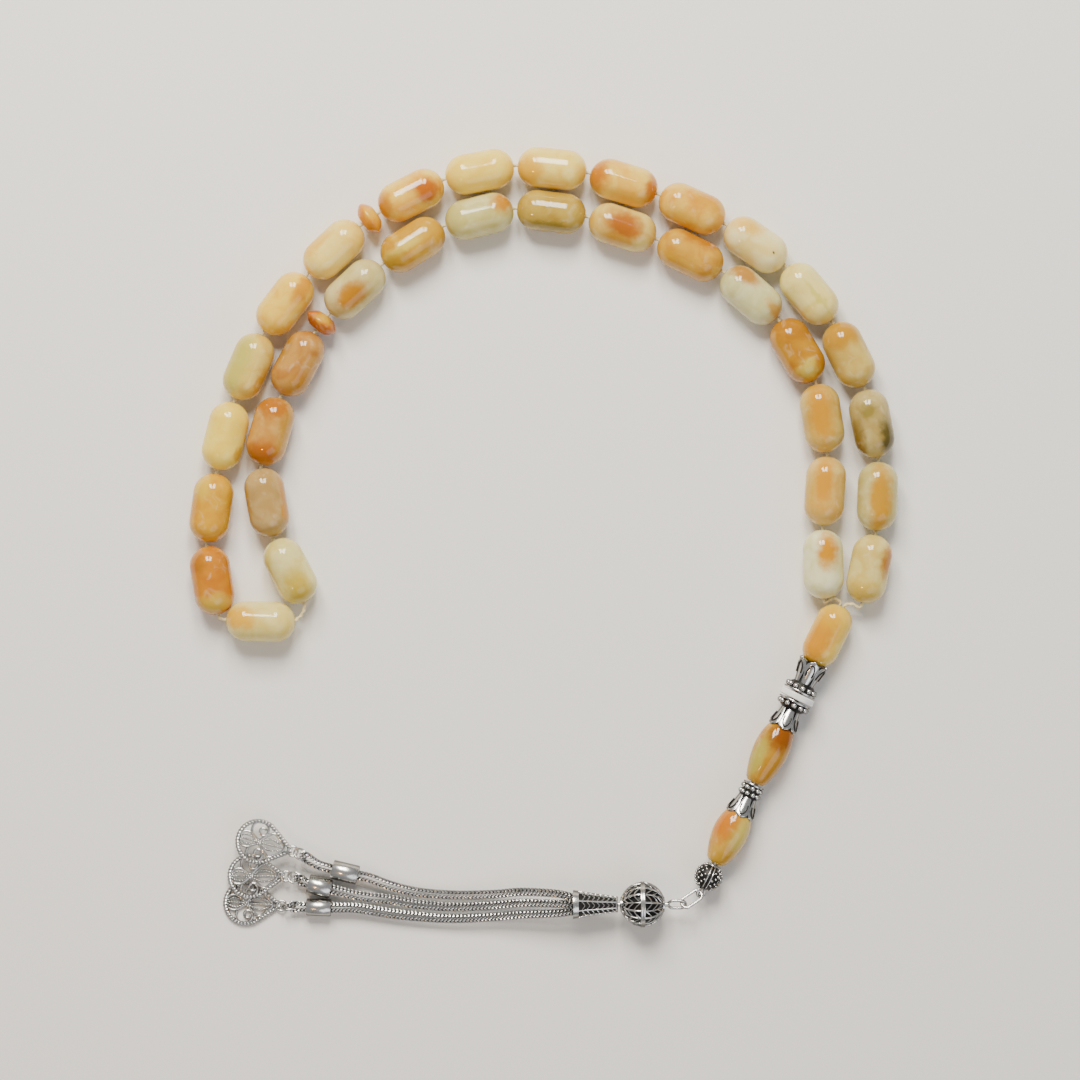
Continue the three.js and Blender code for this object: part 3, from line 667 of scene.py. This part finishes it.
# ---- Neck beads ----
# A capsule and two barrel beads of the same agate on the neck, with a white glass ring between them.
NECK_BORE = 1.0                # radius of the hole through everything on the neck

look = stone("neck_stone", neck, "f2dd94", "eccb74", 5.5,
             [(-2.0, -0.4, 4.6, 2.4, "d98c18", 0.95), (0.0, 3.8, 2.0, 2.4, "e6a83c", 0.7)])
capsule_bead("neck_bead", "neck_bead_stone", look, neck, 2 * NECK_BORE)


def barrel(start, end, radius, upper, lower):
    """A barrel bead's section, fullest nearer its upper end, with softened rims."""
    length, soft = end - start, 0.25
    section = [(NECK_BORE, start + soft)]
    for t in np.linspace(0, 1, 25):
        rim = upper + (lower - upper) * t
        swell = rim + (radius - rim) * math.sin(math.pi * t ** 0.8) ** 0.8
        section.append((swell - soft * (t in (0, 1)), start + length * t))
    return [*section, (NECK_BORE, end - soft)]


# Each barrel bead: where it starts and ends down the neck, its lower rim, its two colours and its stains.
BARREL_RADIUS, UPPER_RIM = 3.5, 1.9
BARRELS = [("barrel_bead_1", 19.4, 32.1, 1.9, ("cfae62", "b8923c"),
            [(2.6, 3.6, 3.0, 2.2, "9c4a12", 0.95), (0.6, -3.6, 2.8, 2.6, "c88614", 0.9),
             (-2.6, -0.6, 3.8, 1.2, "c4b283", 0.7)]),
           ("barrel_bead_2", 38.3, 49.6, 1.75, ("dcbd74", "c9a04e"),
            [(-1.4, 2.8, 3.2, 1.8, "d5780e", 0.95), (2.4, 0.4, 3.4, 1.4, "d8c294", 0.7),
             (-1.4, -4.6, 1.6, 1.8, "c98e22", 0.8)])]
for number, (name, start, end, lower, colours, stains) in enumerate(BARRELS, 1):
    middle = neck @ Matrix.Translation((0, (start + end) / 2, 0))
    look = stone(f"neck_stone_{number}", middle, *colours, 11.0 * number, stains)
    section = barrel(start, end, BARREL_RADIUS, UPPER_RIM, lower)
    finished(f"{name}_stone", built(turned(section, look), place=neck), name, "bead_stone", name)


def rounded(r, half, bore, edge=0.3, steps=5):
    """The section of a ring with rounded outer edges, from its bore, as half of its height each way."""
    arcs = [(r - edge + edge * math.cos(t), sign * (half - edge) + edge * math.sin(t))
            for sign, first in ((-1, -90), (1, 0)) for t in np.radians(np.linspace(first, first + 90, steps))]
    return [(bore, -half), *arcs, (bore, half)]


white = look_of("white_glass", "f4f2ec", "e6e3da", 0.12, depth=0.004)
RING_AT = 13.35
ring = [(r, RING_AT + s) for r, s in rounded(3.5, 0.65, NECK_BORE, 0.28)]
finished("white_glass_ring", built(turned(ring, white), place=neck), "white_ring", "white_ring", "white_ring")


# ---- Silver caps ----
# Cast silver caps, oxidised black and polished back on top. Each has a cup of petals round a bead's end,
# a narrow throat and one or two rings of grains.
# The worn silver's edge colour is painted shade along its turned-away sides.
silver = look_of("worn_silver", "e9e7e1", "9c9993", 0.2, metal=1.0, depth=0.02, grain=7.0, edge="3c3a38")
black_silver = look_of("blackened_silver", "2a2927", "141312", 0.42, metal=0.7, depth=0.03, grain=7.0)


def grains(places, radius, look):
    """Small round grains, each as its own little ball with four rows of nine corners between its poles."""
    points, faces, wide = [], [], 9
    rows = [(math.sin(t), math.cos(t)) for t in np.radians([32, 68, 112, 148])]
    for x, y, z in places:
        top = len(points)
        points.append((x, y, z + radius))
        points += [(x + radius * r * math.cos(a), y + radius * r * math.sin(a), z + radius * up)
                   for r, up in rows for a in (math.tau * k / wide for k in range(wide))]
        points.append((x, y, z - radius))
        bottom = len(points) - 1
        for k in range(wide):
            turn = (k + 1) % wide - k
            column = [top + 1 + row * wide + k for row in range(len(rows))]
            faces.append([top, column[0], column[0] + turn])
            faces += [[a, b, b + turn, a + turn] for a, b in zip(column, column[1:])]
            faces.append([column[-1], bottom, column[-1] + turn])
    return points, faces, look


def wire_tree():
    """Round wire along smooth lines."""
    tree, given = new_tree("Round wire", Thickness="Float", Step="Float", Sides="Int", Material="Material")
    line = smoothed(tree, given["Geometry"], given["Step"])
    return finish_tree(tree, sweep(tree, line, given["Thickness"], given["Sides"]), given["Material"])


round_wire = wire_tree()


def wires(look, thickness, *strokes, closed=False, step=0.2, sides=8):
    """One or more lengths of round wire in one look."""
    line = lines(*strokes, closed=closed)
    return grown(round_wire, line, Thickness=thickness, Step=step, Sides=sides, Material=look)


def at_angle(turn, radius, along):
    """A point round Y, from its angle, its distance from Y and its place along it."""
    return radius * math.sin(turn), along, radius * math.cos(turn)


PETAL_DOME = 0.12


def petal(turn, stations, look, thickness=0.35):
    """A curved petal round Y through (place along Y, radius, half width) stations, domed across its width."""
    across = (-1, -0.7, -0.35, 0, 0.35, 0.7, 1)
    skins = [[at_angle(turn + v * half / r, r - sunk + PETAL_DOME * (1 - v * v), y)
              for y, r, half in stations for v in across] for sunk in (0, thickness)]
    wide, rows = len(across), len(stations)
    count = wide * rows
    firsts = [s * count + i * wide + j for s in (0, 1) for i in range(rows - 1) for j in range(wide - 1)]
    faces = [[a, a + 1, a + wide + 1, a + wide] for a in firsts]
    border = [*range(wide), *range(2 * wide - 1, count, wide), *range(count - 2, count - wide - 1, -1),
              *range(count - 2 * wide, 0, -wide)]
    faces += [[a, b, b + count, a + count] for a, b in zip(border, border[1:] + border[:1])]
    return [*skins[0], *skins[1]], faces, look


# A petal's half widths at shares of its length, and the black mark that follows its edge, as (side, share).
PETAL_WIDTHS = [(0, 0.72), (0.2, 0.86), (0.4, 1.1), (0.6, 1.34), (0.75, 1.42), (0.87, 1.26), (0.95, 0.9),
                (1, 0.3)]
PETAL_MARK = [(-0.62, 0.36), (-0.66, 0.58), (-0.4, 0.78), (0, 0.86), (0.4, 0.78), (0.66, 0.58), (0.62, 0.36)]
PETALS = 6


def cap_parts(lip_at, root_at, root, bulb=0.0, lip=2.95):
    """The petals of a cap from their roots to the lip, each with a black mark, and a grain on its tip."""
    def along(t):
        return root_at + (lip_at - root_at) * t, root + (lip - root) * t ** 1.2

    parts = []
    for k in range(PETALS):
        turn = math.tau * k / PETALS
        parts.append(petal(turn, [(*along(t), half) for t, half in PETAL_WIDTHS], silver))
        stroke = []
        for side, t in PETAL_MARK:
            at, r = along(t)
            stroke.append(at_angle(turn + side / r, r + 0.05 + PETAL_DOME * (1 - side * side), at))
        parts.append(wires(black_silver, 0.3, stroke, sides=6))
        if bulb:
            parts.append(grains([at_angle(turn, lip - 0.05, lip_at)], bulb, silver))
    return parts


def grain_ring(count, radius, at, size, offset=0.0):
    """A ring of evenly spaced grains round Y."""
    return grains([at_angle(math.tau * (k + offset) / count, radius, at) for k in range(count)], size, silver)


# Each cap: its black throat, its edge, its rings of grains, and its cup of petals.
CAPS = {
    "crown_cap": ([(2.55, 6.3), (2.4, 7.2), (1.75, 9.2), (1.7, 10.2), (2.6, 10.9), (2.75, 12.2)],
                  (3.25, 12.1), [(12, 2.78, 11.5, 0.62)], (6.0, 10.6, 1.95, 0.42)),
    "petal_cap": ([(2.75, 14.4), (2.6, 15.8), (1.7, 16.5), (1.75, 17.4), (2.4, 19.2), (2.55, 19.9)],
                  (3.25, 14.3), [(12, 2.78, 15.2, 0.62)], (20.2, 16.2, 1.9)),
    "waist_cap": ([(1.85, 32.6), (1.9, 35.4), (1.6, 36.2), (1.8, 37.0), (2.4, 38.4), (2.55, 38.9)],
                  (2.1, 32.5), [(10, 1.85, 33.4, 0.56), (10, 1.85, 34.55, 0.56, 0.5)], (39.2, 35.3, 1.85)),
}
for name, (throat, (edge, at), rings, cup) in CAPS.items():
    rim = [(NECK_BORE, at), (edge, at), (edge + 0.05, at + 0.15), (edge, at + 0.3), (NECK_BORE, at + 0.3)]
    parts = [turned([(NECK_BORE, throat[0][1]), *throat, (NECK_BORE, throat[-1][1])], black_silver, 32),
             turned(rim, silver, 40), *[grain_ring(*ring) for ring in rings], *cap_parts(*cup)]
    finished(f"{name}_silver", built(*parts, place=neck), "neck", "oxidised_silver", name)


# ---- Knot cover ----
# A hollow silver ball, covered in fine grains and tiny rings with a seam along it, that hides the cord's
# knot. The wire eye soldered to its tip holds the link.
def loop_points(length, width, roll, at=0.0):
    """The middle line of a wire loop along Y, rolled round it, straight-sided if longer than it is wide."""
    bend, straight = width / 2, (length - width) / 2
    points = []
    for t in (math.tau * k / 24 for k in range(24)):
        y = bend * math.sin(t)
        y += math.copysign(straight, y) if abs(y) > 1e-6 else straight * (1 if math.cos(t) > 0 else -1)
        points.append((bend * math.cos(t) * math.cos(roll), at + y, -bend * math.cos(t) * math.sin(roll)))
    return points


def ball_section(radius, first, last, count, middle=0.0):
    """Part of a ball's section round Y, between two angles off its upper end."""
    return [(radius * math.sin(t), middle - radius * math.cos(t)) for t in np.linspace(first, last, count)]


COVER, COVER_INSIDE = 2.6, 1.9
COVER_GRAINS = 110
GOLDEN_ANGLE = 2.39996
KNOT = Vector((0, KNOT_AT, 0))
LOWER_HOLE, UPPER_HOLE = math.pi - 0.06, 0.4
shell = ball_section(COVER, UPPER_HOLE, LOWER_HOLE, 20, KNOT_AT)
inside = ball_section(COVER_INSIDE, LOWER_HOLE, UPPER_HOLE + 0.16, 12, KNOT_AT)
studs, rings = [], []
for k in range(COVER_GRAINS):
    rise = 1 - 2 * (k + 0.5) / COVER_GRAINS
    level, turn = math.sqrt(1 - rise * rise), k * GOLDEN_ANGLE
    way = Vector((level * math.sin(turn), rise, level * math.cos(turn)))
    on_seam = way.z > 0 and abs(way.x) < 0.24
    if on_seam or way.y < -0.86 or way.y > 0.93:
        continue
    if k % 7 == 3:
        side = way.cross(Vector((0.3, 0.2, 0.9))).normalized()
        angles = [math.tau * n / 10 for n in range(10)]
        spokes = [math.cos(a) * side + math.sin(a) * way.cross(side) for a in angles]
        rings.append([(way * (COVER + 0.06) + 0.3 * spoke + KNOT)[:] for spoke in spokes])
    else:
        studs.append((way * (COVER + 0.02) + KNOT)[:])
lips = [[(side * 0.38 * math.sin(t) ** 0.4, KNOT_AT - 2.66 * math.cos(t), 2.62 * math.sin(t))
         for t in np.linspace(0.5, math.pi - 0.4, 12)] for side in (-1, 1)]
EYE_AT, EYE_ROLL = 56.05, math.radians(-40)
collar = [(NECK_BORE, 50.2), (1.35, 50.15), (1.4, 50.4), (1.2, 50.6), (NECK_BORE, 50.5)]
cover = [turned([*shell, *inside], black_silver, 36), grains(studs, 0.27, silver), wires(silver, 0.3, *lips),
         wires(silver, 0.17, *rings, closed=True, sides=6), turned(collar, silver, 24),
         wires(silver, 0.6, loop_points(1.8, 1.8, EYE_ROLL, EYE_AT), closed=True, sides=12, step=0.15)]
finished("knot_cover_silver", built(*cover, place=neck), "neck", "oxidised_silver", "knot_cover")


# ---- Link ----
# An oblong loop of round silver wire, threaded through the cover's eye and the tassel's loop.
# The polished silver's edge colour is painted shade along its turned-away sides.
polished = look_of("polished_silver", "e6e4de", "b5b2ab", 0.22, metal=1.0, depth=0.01, grain=5.0, edge="55534f")


def lying_box(name):
    """The frame of a flat loop, longest along Y and thinnest along Z, and its three sizes in millimetres."""
    places = corners(name)
    ways = [Vector(w) for w in np.linalg.eigh(np.cov((places - places.mean(0)).T))[1].T]
    turn = Matrix((ways[1], ways[2], ways[1].cross(ways[2]))).transposed().to_4x4()
    local = (places - places.mean(0)) @ np.array(turn.to_3x3()) / MM
    middle = (local.max(0) + local.min(0)) / 2
    place = Matrix.Translation(Vector(places.mean(0))) @ turn @ Matrix.Scale(MM, 4) @ Matrix.Translation(middle)
    return place, local.max(0) - local.min(0)


LOOP_WIRE = 0.57
place, (width, length, thick) = lying_box("link")
loop = loop_points(length - thick, width - thick, 0)
loop = wires(polished, LOOP_WIRE, loop, closed=True, sides=14, step=0.15)
finished("link_wire", built(loop, place=place), "link", "polished_silver", "link")


# ---- Tassel eye and ball ----
# The tassel hangs on one pin with a loop at its end. The pin runs through an openwork ball, whose ribs
# and leaf veins stand over a blackened inside, with a raised double band round its middle.
ball_middle = Vector(joints["tassel", "filigree_ball"]["pos_m"])
tassel = Matrix(((0, -1, 0, ball_middle.x), (1, 0, 0, ball_middle.y), (0, 0, 1, ball_middle.z), (0, 0, 0, 1)))
tassel = tassel @ Matrix.Scale(MM, 4)
start, end, _ = span("tassel_eye", tassel)
PIN_RADIUS, PIN_FROM = 0.45, start + 3.7
pin = turned([(PIN_RADIUS, PIN_FROM), (PIN_RADIUS, end)], polished, 20, open_ends=True)
loop = loop_points(3.4, 2.1, math.radians(-40), -6.75)
loop = wires(polished, LOOP_WIRE, loop, closed=True, sides=14, step=0.15)
finished("tassel_eye_wire", built(pin, loop, place=tassel), "tassel", "polished_silver", "tassel_eye")

BALL = 4.2
SECTORS = 8


def on_ball(turn, tilt, radius=BALL):
    """A point on the ball, from its angle round the pin and its angle towards the pin's end."""
    return at_angle(turn, radius * math.cos(tilt), radius * math.sin(tilt))


ribs, veins, spurs = [], [], []
for half in (-1, 1):
    for k in range(SECTORS):
        middle = math.tau * (k + (0.25 if half > 0 else 0.75)) / SECTORS
        edge = middle + math.pi / SECTORS
        ribs.append([on_ball(edge, half * t) for t in np.radians((4, 20, 36, 52, 68, 78))])
        spurs.append([on_ball(middle, half * t, BALL + 0.02) for t in np.radians((6, 22, 40, 58, 72))])
        for tilt in (14, 33, 50):
            for side in (-1, 1):
                veins.append([
                    on_ball(middle + side * share * math.pi / SECTORS, half * math.radians(tilt + rise))
                    for share, rise in ((0.03, -7), (0.4, 2), (0.72, 8), (0.98, 10))])
INNER_BALL, HOLLOW, HOLE = 3.78, 3.3, 0.22
inner = ball_section(INNER_BALL, HOLE, math.pi - HOLE, 24)
hollow = ball_section(HOLLOW, math.pi - 0.26, 0.26, 16)
band = [(4.0, -0.24), (4.42, -0.22), (4.5, 0), (4.42, 0.22), (4.0, 0.24)]
collar = [(0.8, 3.95), (1.5, 3.95), (1.45, 4.3), (0.8, 4.42)]
bands = [turned([(r, y + side * 0.22) for r, y in band], silver, 64) for side in (-1, 1)]
collars = [turned([(r, side * y) for r, y in collar], silver, 32) for side in (-1, 1)]
ball = [turned([*inner, *hollow], black_silver, 40), wires(silver, 0.46, *ribs), wires(silver, 0.3, *spurs),
        wires(silver, 0.28, *veins, sides=6), *bands, *collars]
finished("filigree_ball_silver", built(*ball, place=tassel), "filigree_ball", "oxidised_silver",
         "filigree_ball")


# ---- Cone cap ----
# A pierced silver cone, soldered to the pin, that holds the ends of the chains. Eight ribs run down it
# with chevrons between them, and a plain flared band finishes its rim.
CONE = [(1.3, 4.8), (1.45, 5.6), (2.4, 12.2), (2.55, 12.5)]


def cone_radius(s):
    """The cone's radius at a distance down the pin."""
    return np.interp(s, [at for _, at in CONE], [r for r, _ in CONE])


RIBS = 8
cone_ribs, chevrons = [], []
for k in range(RIBS):
    edge = math.tau * (k + 0.5) / RIBS
    cone_ribs.append([at_angle(edge, cone_radius(s) + 0.06, s) for s in np.linspace(4.9, 12.5, 8)])
    for s in np.arange(5.6, 12.2, 0.95):
        r = cone_radius(s)
        chevrons.append([at_angle(edge + (1 + v) * math.pi / RIBS, r + 0.09 - 0.05 * abs(v), s + 0.6 * abs(v))
                         for v in (-0.95, -0.45, 0, 0.45, 0.95)])
outside = [(0.6, 4.8), (1.3, 4.8), (1.35, 5.6), (2.35, 12.4), (2.5, 12.9), (2.5, 13.6)]
mouth = [(2.42, 13.6), (2.2, 12.2), (1.0, 6.7), (0.6, 6.0)]
collar = [(0.7, 4.8), (1.5, 4.8), (1.62, 5.0), (1.5, 5.25), (0.7, 5.25)]
band = [(2.42, 12.5), (2.66, 12.5), (2.72, 12.9), (2.8, 13.4), (2.8, 13.6), (2.42, 13.6)]
cone = [turned([*outside, *mouth], black_silver, 40), wires(silver, 0.34, *cone_ribs),
        wires(silver, 0.28, *chevrons, sides=6), turned(collar, silver, 32), turned(band, silver, 48)]
finished("cone_cap_silver", built(*cone, place=tassel), "tassel", "oxidised_silver", "cone_cap")


# ---- Chains ----
# Three foxtail chains of fine silver wire. Each is doubled: it leaves the cone, runs through its sleeve,
# turns back through its jump ring and returns.
CHAIN = 1.05                   # thickness of one run
CHAIN_TURN = 1.0               # radius of the turn round the jump ring
CHAIN_GAP = 0.1                # between the two runs
LINK_PITCH, LINK_WIRE, SHADE_CORE = 0.74, 0.33, 0.7
GROOVE, RIDGE = 0.24, 0.62     # how far the wire lies from the middle where it crosses, and where it bows out
# Each chain's middle line: x, y, height in millimetres, and how far its two runs lean from side by side.
CHAIN_LINES = [
    [(7.0, -70.1, 4.5, 55), (6.1, -69.9, 4.5, 55), (3.0, -69.2, 4.4, 55), (-3.7, -69.0, 3.4, 50),
     (-9.5, -69.6, 2.3, 45), (-17.2, -69.8, 1.6, 40), (-24.1, -69.3, 1.4, 25), (-29.4, -68.0, 1.6, 10),
     (-33.3, -66.5, 1.9, 0), (-35.8, -65.9, 1.9, 0), (-40.8, -64.7, 1.9, 0), (-43.6, -63.8, 2.3, -10),
     (-45.9, -62.3, 2.9, -40)],
    [(7.0, -71.3, 4.5, 55), (6.1, -71.3, 4.5, 55), (3.0, -71.2, 4.3, 55), (-3.7, -71.2, 3.2, 50),
     (-9.5, -71.8, 2.0, 45), (-17.2, -72.2, 1.4, 40), (-24.1, -71.7, 1.25, 25), (-29.4, -70.8, 1.4, 10),
     (-36.0, -69.9, 1.85, 0), (-40.9, -68.7, 1.85, 0), (-45.8, -67.4, 1.85, -10), (-47.1, -66.8, 1.85, -40)],
    [(7.0, -72.5, 4.5, 55), (6.1, -72.7, 4.5, 55), (3.0, -73.1, 4.2, 55), (-3.7, -73.5, 3.0, 50),
     (-9.5, -74.1, 1.9, 45), (-17.2, -74.5, 1.3, 40), (-24.1, -74.1, 1.25, 25), (-29.4, -73.5, 1.4, 10),
     (-36.0, -72.4, 1.7, 0), (-40.4, -72.3, 1.7, 0), (-46.6, -72.15, 1.75, -10), (-48.2, -72.1, 1.95, -35)],
]
CHAINS_FROM = Vector((-0.7405, -0.4651, 0))    # where these lines are measured from


def foxtail_tree():
    """A foxtail chain along its line: at every pitch, four wires that each cross from groove to groove."""
    tree, given = new_tree("Foxtail", Pitch="Float", Wire="Float", Material="Material")
    parts = []
    for quarter in range(4):
        corners_at = ((0, GROOVE, 0.42), (0.25, RIDGE, -0.5), (0.5, GROOVE, 0.42))
        start, middle, end = ((reach * math.cos(a), reach * math.sin(a), height) for a, reach, height in (
            (math.pi * (quarter / 2 + turn), reach, height) for turn, reach, height in corners_at))
        wire = output(tree, "CurveQuadraticBezier", Resolution=4, Start=start, Middle=middle, End=end)
        parts.append(sweep(tree, wire, given["Wire"], 6))
    line = output(tree, "CurveSplineType", Curve=given["Geometry"], spline_type="CATMULL_ROM")
    spots = node(tree, "CurveToPoints", Curve=line, Length=given["Pitch"], mode="LENGTH").outputs
    links = output(tree, "InstanceOnPoints", Points=spots["Points"], Instance=joined(tree, *parts),
                   Rotation=spots["Rotation"])
    return finish_tree(tree, links, given["Material"])


foxtail = foxtail_tree()


def chain_route(stations):
    """The chain's two runs and the turn between them, from its middle line."""
    middles = [Vector(s[:3]) + CHAINS_FROM for s in stations]
    runs = [[], []]
    for k, (middle, station) in enumerate(zip(middles, stations)):
        along = middles[min(k + 1, len(middles) - 1)] - middles[max(k - 1, 0)]
        half = CHAIN_TURN if k == len(middles) - 1 else (CHAIN + CHAIN_GAP) / 2
        lean = math.radians(station[3])
        offset = Vector((-along.y, along.x, 0)).normalized() * half * math.cos(lean)
        offset += Vector((0, 0, half * math.sin(lean)))
        runs[0].append(middle + offset)
        runs[1].append(middle - offset)
    out = Vector((along.x, along.y, 0)).normalized() * CHAIN_TURN
    turn = [middles[-1] + offset * math.cos(math.pi * t) + out * math.sin(math.pi * t)
            for t in (0.25, 0.5, 0.75)]
    return [*runs[0], *turn, *reversed(runs[1])]


for number, stations in enumerate(CHAIN_LINES, 1):
    route = chain_route(stations)
    weave = grown(foxtail, lines(route), Pitch=LINK_PITCH, Wire=LINK_WIRE, Material=silver)
    # Painted shade: the blackened middle wire stands for the dark inside of the weave between the wires.
    core = wires(black_silver, SHADE_CORE, route, step=0.5)
    finished(f"foxtail_{number}", built(weave, core), f"chain_{number}", "oxidised_silver", f"chain_{number}")


# ---- Sleeves and jump rings ----
# Plain silver tubes slide along the doubled chains. A ring of round wire joins each chain to its drop.
SLEEVE_WALL, EASE = 0.3, 0.12
for number in (1, 2, 3):
    name = f"sleeve_{number}"
    way = Vector(joints[f"chain_{number}", name]["axis"])
    places = corners(name)
    place = stand(Vector((places.max(0) + places.min(0)) / 2), way)
    start, end, radius = span(name, place)
    half = (end - start) / 2
    rim = [(radius - SLEEVE_WALL, half - 0.08), (radius - EASE, half), (radius, half - 0.1)]
    wall = [*[(r, -y) for r, y in rim], *reversed(rim)]
    finished(f"{name}_tube", built(turned(wall, polished, 64), place=place), name, "polished_silver", name)

    name = f"jump_ring_{number}"
    place, (_, width, thick) = lying_box(name)
    ring = loop_points(width - thick, width - thick, 0)
    ring = wires(polished, thick, ring, closed=True, sides=12, step=0.15)
    finished(f"{name}_wire", built(ring, place=place), name, "polished_silver", name)


# ---- Drops ----
# Flat teardrops of filigree: a frame of twisted wire, with C-scrolls and arches of plain wire, lines of
# grained wire and a knob of four grains soldered inside it. A small ring soldered to the point hangs it.
def beaded_tree():
    """Grained wire: small grains set close together along a thin core."""
    tree, given = new_tree("Grained wire", Thickness="Float", Pitch="Float", Material="Material")
    line = smoothed(tree, given["Geometry"], given["Pitch"])
    radius = times(tree, given["Thickness"], 0.5)
    grain = output(tree, "MeshUVSphere", Segments=8, Rings=5, Radius=radius)
    spots = output(tree, "CurveToPoints", Curve=line, Length=given["Pitch"], mode="LENGTH")
    strung = output(tree, "InstanceOnPoints", Points=spots, Instance=grain)
    core = sweep(tree, line, times(tree, given["Thickness"], 0.6), 6)
    return finish_tree(tree, joined(tree, strung, core), given["Material"])


beaded = beaded_tree()
DROP_ROUND, DROP_POINT, DROP_TIP = 4.05, 6.5, 6.75
FRAME_WIRE = dict(Thickness=1.0, Flatness=0.66, Twist=1.3, Step=0.12)
WIRE_HEIGHT = 0.45             # the middle of the frame and of the wires in it, above the drop's underside
reach = math.asin(DROP_ROUND / DROP_POINT)


def flat(*points, side=1):
    """Wire through points in the plane of a drop, in its right half or mirrored into its left."""
    return [(side * x, y, WIRE_HEIGHT) for x, y in points]


def arc(middle_x, middle_y, radius, first, last, count, end_radius=None):
    """Points along an arc, in degrees, that may wind in to a smaller radius."""
    radii = np.linspace(radius, end_radius or radius, count)
    return [(middle_x + r * math.cos(a), middle_y + r * math.sin(a))
            for r, a in zip(radii, np.radians(np.linspace(first, last, count)))]


rim = [(-DROP_ROUND * math.cos(t), DROP_ROUND * math.sin(t))
       for t in np.linspace(math.pi - reach + 0.1, math.tau + reach - 0.1, 30)]
frame_line = flat((0.05, DROP_TIP), *rim, (-0.05, DROP_TIP))
C_SCROLL = [*arc(2.4, -0.15, 1.62, -118, 100, 16), *arc(2.2, 0.55, 0.86, 96, 420, 16, 0.6)]
ARCH = [(0.15, 0.2), (0.9, 0.75), (1.9, 1.9), (2.35, 2.75), (1.9, 3.6), (1.2, 4.4), (0.5, 5.15), (0, 5.35)]
LOWER_ARCH = [(0.1, 0.1), (0.9, -0.9), (1.5, -2.0), (1.3, -3.1), (0.7, -3.75)]
UPPER_GRAINS = [(0.25, 0.5), (0.85, 1.6), (1.1, 2.8), (0.7, 4.2)]
LOWER_GRAINS = [(0.1, -0.2), (0.75, -1.3), (0.85, -2.4), (0.4, -3.5)]
scrolls = [flat(*line, side=side) for side in (-1, 1) for line in (C_SCROLL, ARCH, LOWER_ARCH)]
grained = [flat(*line, side=side) for side in (-1, 1) for line in (UPPER_GRAINS, LOWER_GRAINS)]
grained += [flat((0, 0.5), (0, 2.6), (0, 5.0)), flat((0, -0.2), (0, -2.0), (0, -3.7))]
bail = [(x, y + 7.1, 0.85) for x, y, _ in loop_points(1.95, 1.95, 0)]
knob = grains([(0, 0.15, 0.5), (0, -0.35, 0.5), (0.4, 0.0, 0.5), (-0.4, 0.0, 0.5)], 0.32, silver)

# Where each drop's middle lies, and which way its point looks.
for number, (x, y, way) in enumerate([(-56.065, -59.644, (0.966, -0.259)), (-57.741, -66.520, (1, 0)),
                                      (-58.711, -71.967, (0.9976, -0.0698))], 1):
    name = f"drop_{number}"
    height = min(corners(name)[:, 2])
    place = stand(Vector((x * MM, y * MM, height)), Vector((*way, 0)))
    rope = grown(twisted, lines(frame_line), **FRAME_WIRE, Material=silver)
    grained_wire = grown(beaded, lines(*grained), Thickness=0.5, Pitch=0.46, Material=silver)
    parts = [rope, grained_wire, wires(silver, 0.5, *scrolls), knob,
             wires(silver, 0.45, bail, closed=True, sides=10, step=0.15)]
    finished(f"{name}_filigree", built(*parts, place=place), name, "oxidised_silver", name)
